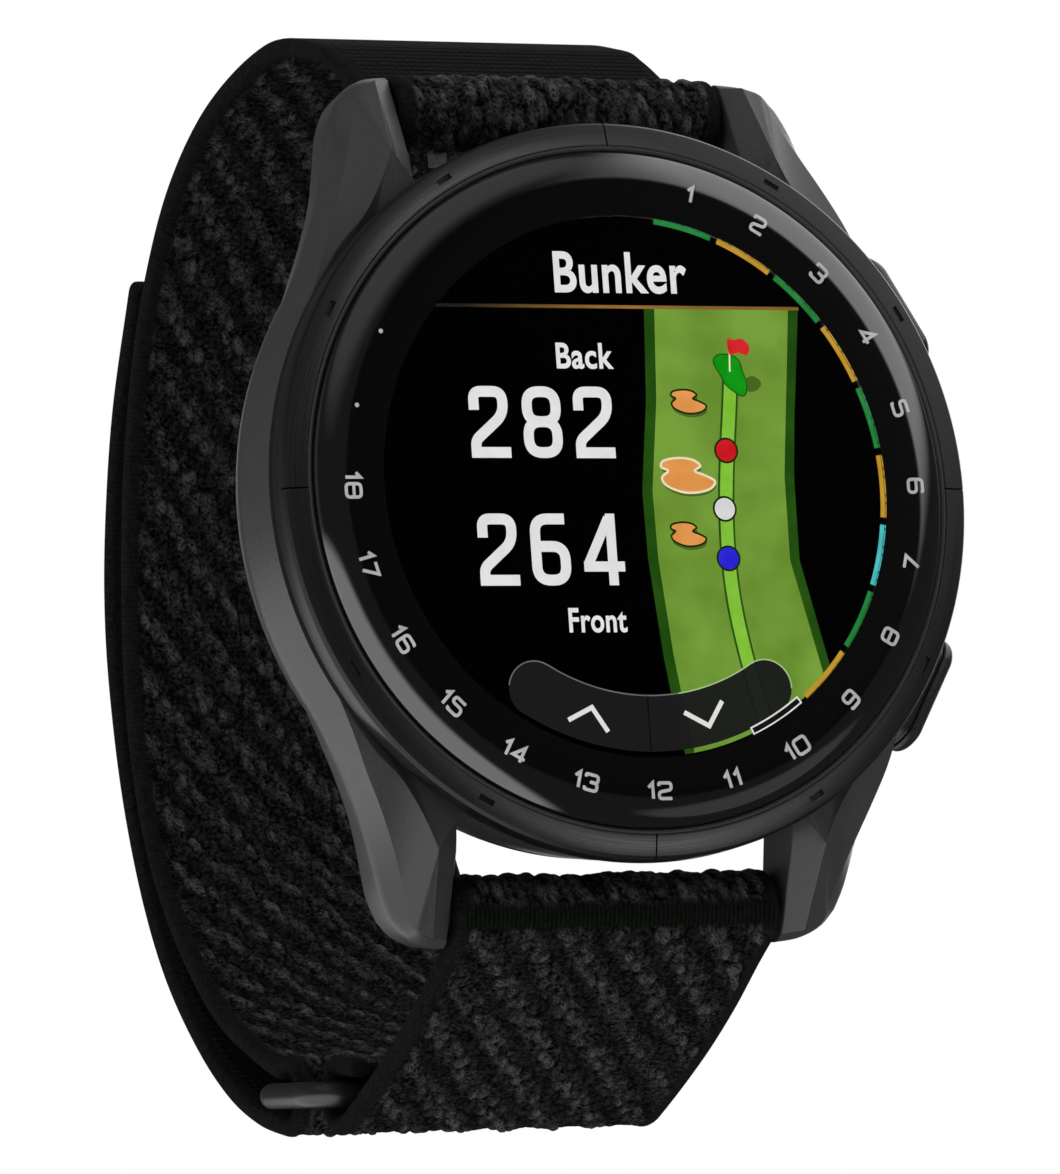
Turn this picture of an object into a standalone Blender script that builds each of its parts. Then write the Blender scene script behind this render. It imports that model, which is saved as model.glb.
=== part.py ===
"""Golf GPS watch with its round case, display, two buttons, spring bars and woven strap.

World frame in metres: X points to the 3 o'clock side, Z to 12 o'clock, and Y runs
through the watch from the face to the wrist. The origin is the centre of the flat
sensor window on the case back. The functions below take millimetres, and a depth is
measured rearwards from the plane of the bezel's top.
"""
import math

import bmesh
import bpy
from mathutils import Matrix, Vector

MM = 0.001

# Driving dimensions, millimetres
BACK_DEPTH = 10.5          # bezel plane to the flat of the sensor window
LENS_RISE = 1.1            # the domed lens stands this far in front of the bezel plane
LENS_RADIUS = 19.25
LENS_FLAT_RADIUS = 17.2
DISPLAY_RADIUS = 15.7
BEZEL_OUTER = 20.95
BEZEL_INNER = 19.4
BEZEL_BASE_DEPTH = 1.6
CASE_FRONT_DEPTH = 2.2
CASE_WIDE_DEPTH = 5.3
CASE_BACK_FACE = 7.6
CASE_FRONT_RADIUS = 20.92
CASE_WIDE_RADIUS = 21.5
SLEEVE_RADIUS = 19.2
BORE_RADIUS = 17.45
LUG_INNER = 10.3           # half the 20.6 mm gap between the lugs
FLANK_ANGLE = 33.0         # the lugs leave the round flank here, degrees above 3 o'clock
STRAP_HALF = 10.0          # a 20 mm strap
STRAP_THICK = 1.2
BAR_RADIUS = 0.9
WRAP_RADIUS = 1.7          # from a spring bar's axis to the middle of the fabric round it
FOLD_RADIUS = 1.85         # the same round the ring's bars
HOOK_THICK = 0.45
RING_WIRE = 0.75
RING_HALF = 11.9

# Axes of the strap's pivots as (depth, height), millimetres
TOP_BAR = (7.5, 22.9)
BOTTOM_BAR = (7.5, -22.9)
RING_FRONT = (24.8, -31.0)
RING_REAR = (32.6, -30.2)

BUTTON_ANGLE = 30.0        # degrees above and below 3 o'clock
BUTTON_DEPTH = 4.7
BUTTON_HALF_LONG = 3.6
BUTTON_HALF_WIDE = 1.4
BUTTON_TOP = 23.2          # distance of the button's outer face from the watch's axis
BUTTON_GAP = 0.2           # clearance between a button's cap and its pocket
STEM_RADIUS = 0.6
STEM_BORE = 0.75
SEAL_BORE = 1.15
SEAL_RADIUS = 0.86         # of the O-ring's middle line
BAR_HOLE_RADIUS = 0.55
BAR_PIN_RADIUS = 0.4
SCREW_CIRCLE = 18.6
SCREW_SHANK = 0.5
SCREW_HEAD = 0.95
PIN_PITCH = 1.3
PIN_RADIUS = 0.28
PORT_HEIGHT = -14.6
PORT_HALF_WIDE = 4.0
PORT_HALF_HIGH = 1.7
BATTERY_HALF_WIDE = 9.4
BATTERY_HALF_HIGH = 11.5
BOARD_RADIUS = 16.3
SENSOR_WINDOW_RADIUS = 10.25
RING_CORNER = 1.6          # bend radius of the ring's corners


def clear_scene():
    for item in list(bpy.data.objects):
        bpy.data.objects.remove(item, do_unlink=True)


def place(point):
    """World position of (x, depth, height) in millimetres."""
    x, depth, height = point
    return Vector((x * MM, (depth - BACK_DEPTH) * MM, height * MM))


def material(name, colour, roughness, metallic=0.0):
    found = bpy.data.materials.get(name)
    if found is None:
        found = bpy.data.materials.new(name)
        found.use_nodes = True
        shader = found.node_tree.nodes["Principled BSDF"]
        shader.inputs["Base Color"].default_value = (*colour, 1.0)
        shader.inputs["Roughness"].default_value = roughness
        shader.inputs["Metallic"].default_value = metallic
    return found


def case_polymer():
    return material("case_polymer", (0.085, 0.085, 0.088), 0.48)


def bezel_metal():
    return material("bezel_metal", (0.045, 0.045, 0.048), 0.30, 0.9)


def black_plastic():
    return material("black_plastic", (0.012, 0.012, 0.012), 0.55)


def black_rubber():
    return material("black_rubber", (0.015, 0.015, 0.015), 0.8)


def lens_glass():
    return material("lens_glass", (0.02, 0.02, 0.022), 0.05)


def display_black():
    return material("display_black", (0.004, 0.004, 0.005), 0.2)


def steel():
    return material("steel", (0.55, 0.55, 0.56), 0.28, 1.0)


def ring_metal():
    return material("ring_metal", (0.09, 0.09, 0.095), 0.34, 0.9)


def board_green():
    return material("board_green", (0.02, 0.10, 0.05), 0.45)


def flex_amber():
    return material("flex_amber", (0.35, 0.16, 0.03), 0.4)


def cell_foil():
    return material("cell_foil", (0.30, 0.31, 0.33), 0.35, 0.8)


def contact_gold():
    return material("contact_gold", (0.75, 0.55, 0.20), 0.3, 1.0)


def sensor_glass():
    return material("sensor_glass", (0.02, 0.02, 0.025), 0.08)


def strap_fabric():
    return material("strap_fabric", (0.016, 0.016, 0.016), 0.95)


def hook_tape():
    return material("hook_tape", (0.012, 0.012, 0.013), 0.85)


def finish_mesh(name, mesh_data, look, smooth_angle=30.0):
    """Turns a bmesh in world metres into a named object with outward faces."""
    bmesh.ops.recalc_face_normals(mesh_data, faces=mesh_data.faces)
    mesh = bpy.data.meshes.new(name)
    mesh_data.to_mesh(mesh)
    mesh_data.free()
    mesh.shade_smooth()
    mesh.set_sharp_from_angle(angle=math.radians(smooth_angle))
    item = bpy.data.objects.new(name, mesh)
    bpy.context.collection.objects.link(item)
    if look is not None:
        mesh.materials.append(look)
    return item


def skin_rings(rings, closed_ends):
    """A mesh through rings of points: a tube with end caps, or a torus when closed_ends is False.

    Points that coincide are shared, and faces that shrink to a line are left out.
    """
    mesh_data = bmesh.new()
    known = {}

    def vertex(point):
        key = tuple(round(value, 5) for value in point)
        if key not in known:
            known[key] = mesh_data.verts.new(place(point))
        return known[key]

    corners = [[vertex(point) for point in ring] for ring in rings]
    count = len(rings[0])
    pairs = list(zip(corners[:-1], corners[1:]))
    if not closed_ends:
        pairs.append((corners[-1], corners[0]))
    for ring_a, ring_b in pairs:
        for index in range(count):
            after = (index + 1) % count
            loop = [ring_a[index], ring_a[after], ring_b[after], ring_b[index]]
            face = [corner for spot, corner in enumerate(loop) if corner is not loop[spot - 1]]
            if len(set(face)) >= 3 and mesh_data.faces.get(face) is None:
                mesh_data.faces.new(face)
    if closed_ends:
        for ring in (corners[0], corners[-1]):
            if len(set(ring)) >= 3:
                mesh_data.faces.new(list(dict.fromkeys(ring)))
    return mesh_data


def turned(name, profile, look, segments=64, centre=(0.0, 0.0)):
    """A body turned about the watch's axis from (radius, depth) points.

    A profile that starts and ends at radius 0 is solid, and any other one closes on itself.
    """
    rings = []
    for radius, depth in profile:
        ring = []
        for step in range(segments):
            angle = 2 * math.pi * step / segments
            ring.append((centre[0] + radius * math.cos(angle), depth,
                         centre[1] + radius * math.sin(angle)))
        rings.append(ring)
    solid = profile[0][0] == 0
    return finish_mesh(name, skin_rings(rings, closed_ends=solid), look)


def rod(name, profile, axis_spot, look, segments=16, solid=True):
    """A body turned about a line along X from (x, radius) points; axis_spot is (depth, height)."""
    rings = []
    for x, radius in profile:
        ring = []
        for step in range(segments):
            angle = 2 * math.pi * step / segments
            ring.append((x, axis_spot[0] + radius * math.cos(angle),
                         axis_spot[1] + radius * math.sin(angle)))
        rings.append(ring)
    return finish_mesh(name, skin_rings(rings, closed_ends=solid), look)


def set_origin(item, point):
    """Puts an object's origin on its joint's axis and leaves its shape where it is."""
    spot = place(point)
    item.data.transform(Matrix.Translation(-spot))
    item.location = spot


def block(name, low, high, look):
    """A box between two (x, depth, height) corners."""
    rings = []
    for depth in (low[1], high[1]):
        rings.append([(low[0], depth, low[2]), (high[0], depth, low[2]),
                      (high[0], depth, high[2]), (low[0], depth, high[2])])
    return finish_mesh(name, skin_rings(rings, closed_ends=True), look)


def cut(target, cutter):
    """Takes cutter's shape out of target with a Boolean modifier."""
    cutter.hide_render = True
    cutter.display_type = 'WIRE'
    change = target.modifiers.new("cut_" + cutter.name, 'BOOLEAN')
    change.operation = 'DIFFERENCE'
    change.solver = 'EXACT'
    change.object = cutter


def smooth_line(points, per_span):
    """A Catmull-Rom curve through the points, per_span steps between neighbours."""
    ends = [points[0]] + list(points) + [points[-1]]
    line = []
    for span in range(len(points) - 1):
        p0, p1, p2, p3 = (Vector(end) for end in ends[span:span + 4])
        for step in range(per_span):
            t = step / per_span
            line.append(0.5 * (2 * p1 + (p2 - p0) * t + (2 * p0 - 5 * p1 + 4 * p2 - p3) * t ** 2
                               + (3 * p1 - p0 - 3 * p2 + p3) * t ** 3))
    line.append(Vector(points[-1]))
    return [tuple(point) for point in line]


def resample(points, count):
    """count + 1 points at even distances along a line of points."""
    line = [Vector(point) for point in points]
    lengths = [0.0]
    for before, after in zip(line[:-1], line[1:]):
        lengths.append(lengths[-1] + (after - before).length)
    even = []
    span = 0
    for step in range(count + 1):
        goal = lengths[-1] * step / count
        while span < len(line) - 2 and lengths[span + 1] < goal:
            span += 1
        reach = max(lengths[span + 1] - lengths[span], 1e-9)
        even.append(tuple(line[span].lerp(line[span + 1], (goal - lengths[span]) / reach)))
    return even


# Case

FLANK_STEPS = 6
EDGE_STEPS = 8
TIP_STEPS = 3
WALL_STEPS = 3
GAP_STEPS = 4


def arc_points(radius, depth_start, depth_end, start, end, steps):
    """Points on a circle about the watch's axis from one angle to another, in degrees."""
    points = []
    for step in range(steps + 1):
        share = step / steps
        angle = math.radians(start + (end - start) * share)
        depth = depth_start + (depth_end - depth_start) * share
        points.append((radius * math.cos(angle), depth, radius * math.sin(angle)))
    return points


def wall_angle(radius):
    """Where the inner wall of a lug meets a circle about the watch's axis, in degrees."""
    return math.degrees(math.acos(LUG_INNER / radius))


def round_quarter(radius, flank_depth, lug_depth):
    """A quarter outline that stays on one circle, from 3 o'clock to 12 o'clock."""
    meet = wall_angle(radius)
    stops = (FLANK_ANGLE, FLANK_ANGLE + 0.62 * (meet - FLANK_ANGLE),
             FLANK_ANGLE + 0.82 * (meet - FLANK_ANGLE), meet)
    quarter = arc_points(radius, flank_depth, flank_depth, 0.0, stops[0], FLANK_STEPS)
    quarter += arc_points(radius, flank_depth, lug_depth, stops[0], stops[1], EDGE_STEPS)[1:]
    quarter += arc_points(radius, lug_depth, lug_depth, stops[1], stops[2], TIP_STEPS)[1:]
    quarter += arc_points(radius, lug_depth, lug_depth, stops[2], stops[3], WALL_STEPS)[1:]
    quarter += arc_points(radius, lug_depth, flank_depth, stops[3], 90.0, GAP_STEPS)[1:]
    return quarter


def lug_quarter(flank_radius, flank_depth, edge, tip, wall, gap_radius, gap_depth):
    """A quarter outline that runs out round a lug and back to the gap between the lugs."""
    quarter = arc_points(flank_radius, flank_depth, flank_depth, 0.0, FLANK_ANGLE, FLANK_STEPS)
    start = quarter[-1]
    quarter += resample(smooth_line([start] + edge, 6), EDGE_STEPS)[1:]
    quarter += resample([edge[-1]] + tip, TIP_STEPS)[1:]
    meet = wall_angle(gap_radius)
    root = (LUG_INNER, wall[-1], gap_radius * math.sin(math.radians(meet)))
    inner = [tip[-1]]
    if len(wall) > 1:
        inner.append((LUG_INNER, wall[0], wall[1]))
    quarter += resample(inner + [root], WALL_STEPS)[1:]
    quarter += arc_points(gap_radius, wall[-1], gap_depth, meet, 90.0, GAP_STEPS)[1:]
    return quarter


def neck_quarter():
    """The crease where a lug's front facet meets the hollow beside the bezel."""
    shoulder = (11.36, 2.9, 20.05)
    quarter = arc_points(CASE_FRONT_RADIUS, CASE_FRONT_DEPTH, CASE_FRONT_DEPTH,
                         0.0, FLANK_ANGLE, FLANK_STEPS)
    crease = smooth_line([quarter[-1], (15.9, 2.35, 14.3), (13.75, 2.7, 17.0), shoulder], 6)
    quarter += resample(crease, EDGE_STEPS)[1:]
    quarter += [shoulder] * (TIP_STEPS + WALL_STEPS - 1)
    meet = wall_angle(20.5)
    quarter += arc_points(20.5, 2.9, 2.4, meet, 90.0, GAP_STEPS)
    return quarter


def full_outline(quarter):
    """The closed outline that a quarter from 3 o'clock to 12 o'clock gives by symmetry."""
    left = [(-x, depth, z) for x, depth, z in reversed(quarter[:-1])]
    upper = quarter + left
    lower = [(x, depth, -z) for x, depth, z in reversed(upper[1:-1])]
    return upper + lower


def case_outlines():
    """Outlines of the housing from its front sleeve, over the outside, to the back and the bore."""
    ridge = lug_quarter(
        CASE_FRONT_RADIUS, CASE_FRONT_DEPTH,
        [(16.75, 2.35, 13.4), (16.0, 2.65, 15.5), (15.1, 3.1, 17.5), (14.1, 3.95, 19.8),
         (13.4, 4.75, 21.6), (12.95, 5.3, 23.0)],
        [(12.3, 5.5, 23.9), (11.3, 5.6, 24.35), (LUG_INNER, 5.75, 24.5)],
        (3.1, 19.5, 2.9), 20.5, 2.4)
    widest = lug_quarter(
        CASE_WIDE_RADIUS, CASE_WIDE_DEPTH,
        [(17.2, 5.35, 13.3), (16.4, 5.4, 15.2), (15.55, 5.5, 17.5), (14.9, 5.6, 19.8),
         (14.35, 5.8, 21.8), (13.75, 6.1, 23.2)],
        [(12.9, 6.4, 24.1), (11.7, 6.7, 24.7), (LUG_INNER, 6.9, 24.9)],
        (5.3,), 20.3, 5.3)
    back_ridge = lug_quarter(
        21.0, 7.0,
        [(16.9, 7.1, 13.2), (16.1, 7.3, 15.1), (15.2, 7.7, 17.5), (14.6, 8.2, 19.8),
         (14.1, 8.7, 21.8), (13.5, 8.9, 23.1)],
        [(12.7, 9.0, 23.9), (11.6, 9.1, 24.4), (LUG_INNER, 9.1, 24.6)],
        (7.3,), 20.0, 7.0)
    quarters = [
        round_quarter(SLEEVE_RADIUS, 1.0, 1.0),
        round_quarter(SLEEVE_RADIUS, CASE_FRONT_DEPTH, CASE_FRONT_DEPTH + 0.2),
        round_quarter(20.4, CASE_FRONT_DEPTH, 2.9),
        neck_quarter(),
        ridge,
        widest,
        back_ridge,
        round_quarter(19.9, CASE_BACK_FACE, CASE_BACK_FACE),
        round_quarter(BORE_RADIUS, CASE_BACK_FACE, CASE_BACK_FACE),
        round_quarter(BORE_RADIUS, 1.0, 1.0),
    ]
    return [full_outline(quarter) for quarter in quarters]


def button_point(angle, reach, along, depth):
    """A point near a button: reach outwards along its axis, along the case's edge, and depth."""
    turn = math.radians(angle)
    x = reach * math.cos(turn) - along * math.sin(turn)
    z = reach * math.sin(turn) + along * math.cos(turn)
    return (x, depth, z)


def pill_ring(angle, reach, half_long, half_wide, curve_radius=None, steps=24):
    """A pill-shaped ring across a button's axis; curve_radius bends it round the case."""
    ring = []
    straight = half_long - half_wide
    for step in range(steps):
        turn = 2 * math.pi * (step + 0.5) / steps
        along = half_wide * math.cos(turn) + math.copysign(straight, math.cos(turn))
        depth = BUTTON_DEPTH + half_wide * math.sin(turn)
        out = reach
        if curve_radius is not None:
            out = reach - curve_radius + math.sqrt(curve_radius ** 2 - along ** 2)
        ring.append(button_point(angle, out, along, depth))
    return ring


def make_case():
    look = case_polymer()
    case = finish_mesh("mid_case", skin_rings(case_outlines(), closed_ends=False), look, 18.0)
    for end, spot in (("top", TOP_BAR), ("bottom", BOTTOM_BAR)):
        for side, sign in (("left", -1), ("right", 1)):
            profile = [(sign * (LUG_INNER - 0.3), BAR_HOLE_RADIUS),
                       (sign * (LUG_INNER + 1.2), BAR_HOLE_RADIUS)]
            cut(case, rod("hole_" + end + "_" + side, profile, spot, None, 12))
    for index, spot in enumerate(screw_spots()):
        bore = SCREW_SHANK + 0.15
        profile = [(0, 4.9), (bore, 4.9), (bore, CASE_BACK_FACE + 0.3), (0, CASE_BACK_FACE + 0.3)]
        cut(case, turned("screw_hole_" + str(index), profile, None, 12, spot))
    for name, angle in (("upper", BUTTON_ANGLE), ("lower", -BUTTON_ANGLE)):
        pocket_long = BUTTON_HALF_LONG + BUTTON_GAP
        pocket_wide = BUTTON_HALF_WIDE + BUTTON_GAP
        rings = [pill_ring(angle, 16.6, STEM_BORE, STEM_BORE),
                 pill_ring(angle, 18.0, STEM_BORE, STEM_BORE),
                 pill_ring(angle, 18.0, SEAL_BORE, SEAL_BORE),
                 pill_ring(angle, 20.0, SEAL_BORE, SEAL_BORE),
                 pill_ring(angle, 20.0, pocket_long, pocket_wide),
                 pill_ring(angle, 25.0, pocket_long, pocket_wide)]
        cut(case, finish_mesh(name + "_pocket", skin_rings(rings, closed_ends=True), None))


def make_bezel():
    profile = [
        (BEZEL_OUTER, BEZEL_BASE_DEPTH), (BEZEL_OUTER, 0.25), (20.8, 0.05),
        (19.6, -0.24), (BEZEL_INNER, -0.05), (BEZEL_INNER, BEZEL_BASE_DEPTH)]
    turned("bezel", profile, bezel_metal(), 72)
    seal = [(20.35, 1.75), (20.35, 2.05), (19.35, 2.05), (19.35, 1.75)]
    turned("recess_ring", seal, black_plastic(), 40)


def lens_curve(radius):
    """Depth of the lens's outer face at a radius: flat, then a quarter ellipse to the edge."""
    if radius <= LENS_FLAT_RADIUS:
        return -LENS_RISE
    share = (radius - LENS_FLAT_RADIUS) / (LENS_RADIUS - LENS_FLAT_RADIUS)
    return -LENS_RISE + (LENS_RISE - 0.1) * (1 - math.sqrt(1 - share ** 2))


def make_lens():
    edge = [LENS_FLAT_RADIUS + (LENS_RADIUS - LENS_FLAT_RADIUS) * share
            for share in (0.0, 0.35, 0.62, 0.82, 0.95, 1.0)]
    outer = [(radius, lens_curve(radius)) for radius in edge]
    inner = [(LENS_RADIUS, 0.65), (18.5, 0.65), (18.5, 0.1), (17.8, -0.25), (16.9, -0.5)]
    profile = [(0, -LENS_RISE)] + outer + inner + [(0, -0.5)]
    turned("lens", profile, lens_glass(), 56)
    gasket = [(SLEEVE_RADIUS, 0.75), (SLEEVE_RADIUS, 0.9), (18.0, 0.9), (18.0, 0.75)]
    turned("lens_gasket", gasket, black_rubber(), 32)


# Inside the case

def make_display():
    panel = [(0, -0.4), (DISPLAY_RADIUS, -0.4), (DISPLAY_RADIUS, 0.5), (0, 0.5)]
    turned("display_panel", panel, display_black(), 48)
    dish = [(0, 0.65), (15.85, 0.65), (15.85, 0.15), (17.3, 0.15), (17.3, 1.05), (0, 1.05)]
    frame = turned("display_frame", dish, black_plastic(), 48)
    cut(frame, block("flex_slot", (-3.2, -1.0, -18.0), (3.2, 2.0, -13.4), None))
    path = [(0.66, -13.6), (0.66, -15.4), (0.9, -16.0), (1.3, -16.1), (1.7, -15.6), (1.75, -13.6)]
    ribbon_plate("display_flex", path, 0.12, 2.8, flex_amber())


def ribbon_plate(name, path, thick, half, look):
    """A strip of even thickness and width along a (depth, height) path, closed at both ends."""
    rings = []
    for (depth, height), normal in zip(path, path_normals(path)):
        side = normal * thick / 2
        rings.append([
            (-half, depth + side.x, height + side.y), (half, depth + side.x, height + side.y),
            (half, depth - side.x, height - side.y), (-half, depth - side.x, height - side.y)])
    return finish_mesh(name, skin_rings(rings, closed_ends=True), look, 40.0)


def open_ring(name, inner, outer, low, high, start, end, look, steps=40):
    """A flat ring that is open between two angles, in degrees from 3 o'clock."""
    rings = []
    for step in range(steps + 1):
        angle = math.radians(start + (end - start) * step / steps)
        ring = []
        for radius, depth in ((inner, low), (outer, low), (outer, high), (inner, high)):
            ring.append((radius * math.cos(angle), depth, radius * math.sin(angle)))
        rings.append(ring)
    return finish_mesh(name, skin_rings(rings, closed_ends=True), look)


def make_electronics():
    board = [(0, 2.4), (BOARD_RADIUS, 2.4), (BOARD_RADIUS, 3.2), (0, 3.2)]
    circuit = turned("main_board", board, board_green(), 40)
    cut(circuit, block("board_notch", (12.2, 2.0, -10.5), (18.0, 3.6, 10.5), None))
    open_ring("antenna_ring", 16.6, 17.25, 1.3, 1.9, 50.0, 310.0, contact_gold())
    shield = block("shield_can", (-9.0, 3.3, -10.5), (3.0, 4.4, 9.5), steel())
    change = shield.modifiers.new("edge", 'BEVEL')
    change.width = 0.25 * MM
    change.segments = 1
    block("gps_chip", (4.6, 3.3, -5.5), (9.6, 4.1, 0.0), black_plastic())
    cell = block("battery", (-BATTERY_HALF_WIDE, 4.6, -BATTERY_HALF_HIGH),
                 (BATTERY_HALF_WIDE, 8.0, BATTERY_HALF_HIGH), cell_foil())
    change = cell.modifiers.new("edge", 'BEVEL')
    change.width = 0.5 * MM
    change.segments = 2
    motor = [(0, 4.2), (3.0, 4.2), (3.0, 6.6), (0, 6.6)]
    turned("vibration_motor", motor, steel(), 28, (-13.2, 0.0))


def make_buttons():
    for name, angle in (("upper", BUTTON_ANGLE), ("lower", -BUTTON_ANGLE)):
        groove = STEM_RADIUS - 0.2
        stem = [(16.2, STEM_RADIUS), (17.0, STEM_RADIUS), (17.0, groove), (17.32, groove),
                (17.32, STEM_RADIUS), (20.75, STEM_RADIUS)]
        rings = [pill_ring(angle, reach, radius, radius) for reach, radius in stem]
        rings.append(pill_ring(angle, 20.75, BUTTON_HALF_LONG, BUTTON_HALF_WIDE))
        rings.append(pill_ring(angle, BUTTON_TOP - 0.55, BUTTON_HALF_LONG, BUTTON_HALF_WIDE,
                               BUTTON_TOP))
        rings.append(pill_ring(angle, BUTTON_TOP - 0.15, BUTTON_HALF_LONG - 0.15,
                               BUTTON_HALF_WIDE - 0.15, BUTTON_TOP))
        rings.append(pill_ring(angle, BUTTON_TOP, BUTTON_HALF_LONG - 0.5,
                               BUTTON_HALF_WIDE - 0.5, BUTTON_TOP))
        cap = finish_mesh(name + "_button", skin_rings(rings, closed_ends=True), black_plastic())
        set_origin(cap, button_point(angle, BUTTON_TOP, 0.0, BUTTON_DEPTH))
        make_seal(name, angle)
        clip = make_clip(name, angle)
        set_origin(clip, button_point(angle, BUTTON_TOP, 0.0, BUTTON_DEPTH))
        make_switch(name, angle)
    open_ring("button_flex", 14.25, 14.4, 3.8, 5.6, -40.0, 40.0, flex_amber(), 20)


def make_seal(name, angle):
    """The O-ring round a button's stem."""
    rings = []
    for step in range(16):
        turn = 2 * math.pi * step / 16
        ring = []
        for part in range(6):
            bend = 2 * math.pi * part / 6
            radius = SEAL_RADIUS + 0.2 * math.cos(bend)
            ring.append(button_point(angle, 18.9 + 0.2 * math.sin(bend),
                                     radius * math.cos(turn),
                                     BUTTON_DEPTH + radius * math.sin(turn)))
        rings.append(ring)
    finish_mesh(name + "_button_seal", skin_rings(rings, closed_ends=False), black_rubber())


def make_clip(name, angle):
    """The open spring clip that keeps a button's stem in the case."""
    rings = []
    for step in range(17):
        turn = math.radians(35.0 + 290.0 * step / 16)
        ring = []
        for radius, reach in ((0.5, 17.06), (1.1, 17.06), (1.1, 17.26), (0.5, 17.26)):
            ring.append(button_point(angle, reach, radius * math.cos(turn),
                                     BUTTON_DEPTH + radius * math.sin(turn)))
        rings.append(ring)
    return finish_mesh(name + "_button_clip", skin_rings(rings, closed_ends=True), steel())


def make_switch(name, angle):
    """The dome switch that a button's stem presses."""
    rings = []
    for reach, half in ((14.55, 1.5), (15.2, 1.5), (15.2, 0.7), (15.6, 0.5)):
        ring = []
        for along, depth in ((-half, -half), (half, -half), (half, half), (-half, half)):
            ring.append(button_point(angle, reach, along, BUTTON_DEPTH + depth))
        rings.append(ring)
    finish_mesh(name + "_switch", skin_rings(rings, closed_ends=True), steel())


# Case back

def screw_spots():
    spots = []
    for angle in (50.0, 130.0, 230.0, 310.0):
        turn = math.radians(angle)
        spots.append((SCREW_CIRCLE * math.cos(turn), SCREW_CIRCLE * math.sin(turn)))
    return spots


def make_back():
    cover_profile = [
        (19.75, 7.95), (19.75, 8.7), (19.35, 9.1), (13.0, 9.6), (12.2, 10.0), (10.4, 10.2),
        (10.4, 9.2), (12.0, 9.0), (12.8, 8.75), (17.2, 8.45), (17.2, 7.95)]
    cover = turned("back_cover", cover_profile, case_polymer(), 48)
    for index, spot in enumerate(screw_spots()):
        bore = SCREW_SHANK + 0.15
        sink = SCREW_HEAD + 0.15
        profile = [(0, 7.5), (bore, 7.5), (bore, 8.5), (sink, 8.5), (sink, 9.6), (0, 9.6)]
        cut(cover, turned("screw_sink_" + str(index), profile, None, 12, spot))
        head = [(0, 5.2), (SCREW_SHANK, 5.2), (SCREW_SHANK, 8.55), (SCREW_HEAD, 8.55),
                (SCREW_HEAD, 8.95), (0.4, 8.95), (0.4, 8.75), (0, 8.75)]
        turned("back_screw_" + str(index + 1), head, steel(), 12, spot)
    gap = 0.15
    low, high = PORT_HEIGHT - PORT_HALF_HIGH, PORT_HEIGHT + PORT_HALF_HIGH
    opening = block("port_opening", (-PORT_HALF_WIDE - gap, 7.0, low - gap),
                    (PORT_HALF_WIDE + gap, 10.0, high + gap), None)
    cut(cover, opening)
    housing = block("charging_port", (-PORT_HALF_WIDE, 8.0, low), (PORT_HALF_WIDE, 9.35, high),
                    black_plastic())
    cut(housing, block("port_pocket", (-3.0, 8.9, PORT_HEIGHT - 0.9),
                       (3.0, 9.8, PORT_HEIGHT + 0.9), None))
    for index in range(4):
        x = (index - 1.5) * PIN_PITCH
        hole = PIN_RADIUS + 0.1
        bore = [(0, 7.5), (hole, 7.5), (hole, 9.3), (0, 9.3)]
        cut(housing, turned("pin_hole_" + str(index), bore, None, 10, (x, PORT_HEIGHT)))
        pin = [(0, 7.7), (PIN_RADIUS, 7.7), (PIN_RADIUS, 9.15), (0, 9.25)]
        turned("contact_pin_" + str(index + 1), pin, contact_gold(), 10, (x, PORT_HEIGHT))
    gasket = [(17.6, 7.68), (17.85, 7.68), (17.85, 7.87), (17.6, 7.87)]
    turned("back_gasket", gasket, black_rubber(), 32)
    window = [(0, 9.5), (SENSOR_WINDOW_RADIUS, 9.5), (SENSOR_WINDOW_RADIUS, 10.2),
              (SENSOR_WINDOW_RADIUS - 2.05, BACK_DEPTH), (0, BACK_DEPTH)]
    turned("sensor_window", window, sensor_glass(), 40)
    board = [(0, 8.5), (8.6, 8.5), (8.6, 9.0), (2.2, 9.0), (2.2, 9.3), (0, 9.3)]
    turned("sensor_board", board, board_green(), 32)


# Spring bars

def make_spring_bar(end, spot, lever):
    """A quick-release bar: the tube, its sliding pin with a lever, and the spring between them.

    lever is the direction of the lever as (depth, height).
    """
    tube_profile = [
        (1.2, 0.0), (1.2, 0.6), (-10.1, 0.6), (-10.1, BAR_RADIUS), (10.1, BAR_RADIUS),
        (10.1, BAR_PIN_RADIUS), (11.0, BAR_PIN_RADIUS), (11.2, 0.2), (11.2, 0.0)]
    outer = rod(end + "_bar_tube", tube_profile, spot, steel(), 16)
    cut(outer, lever_bar(end + "_lever_slot", spot, lever, -7.8, -5.0, 0.55, 2.0, None))
    pin_profile = [(-11.2, 0.0), (-11.2, 0.25), (-11.0, BAR_PIN_RADIUS), (-4.6, BAR_PIN_RADIUS),
                   (-4.6, 0.0)]
    pin = rod(end + "_release_pin", pin_profile, spot, steel(), 14)
    post = lever_bar(end + "_lever_post", spot, lever, -7.5, -6.7, 0.4, 3.0, steel())
    change = pin.modifiers.new("lever", 'BOOLEAN')
    change.operation = 'UNION'
    change.solver = 'EXACT'
    change.object = post
    post.hide_render = True
    post.display_type = 'WIRE'
    set_origin(pin, (-11.2, *spot))
    make_bar_coil(end, spot)


def lever_bar(name, spot, lever, x_low, x_high, half, reach, look):
    """A rectangular post that stands out from a bar's axis."""
    out = Vector(lever).normalized()
    side = Vector((-out.y, out.x)) * half
    rings = []
    for x in (x_low, x_high):
        ring = []
        for along, across in ((0.0, -1), (reach, -1), (reach, 1), (0.0, 1)):
            ring.append((x, spot[0] + out.x * along + side.x * across,
                         spot[1] + out.y * along + side.y * across))
        rings.append(ring)
    return finish_mesh(name, skin_rings(rings, closed_ends=True), look)


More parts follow.
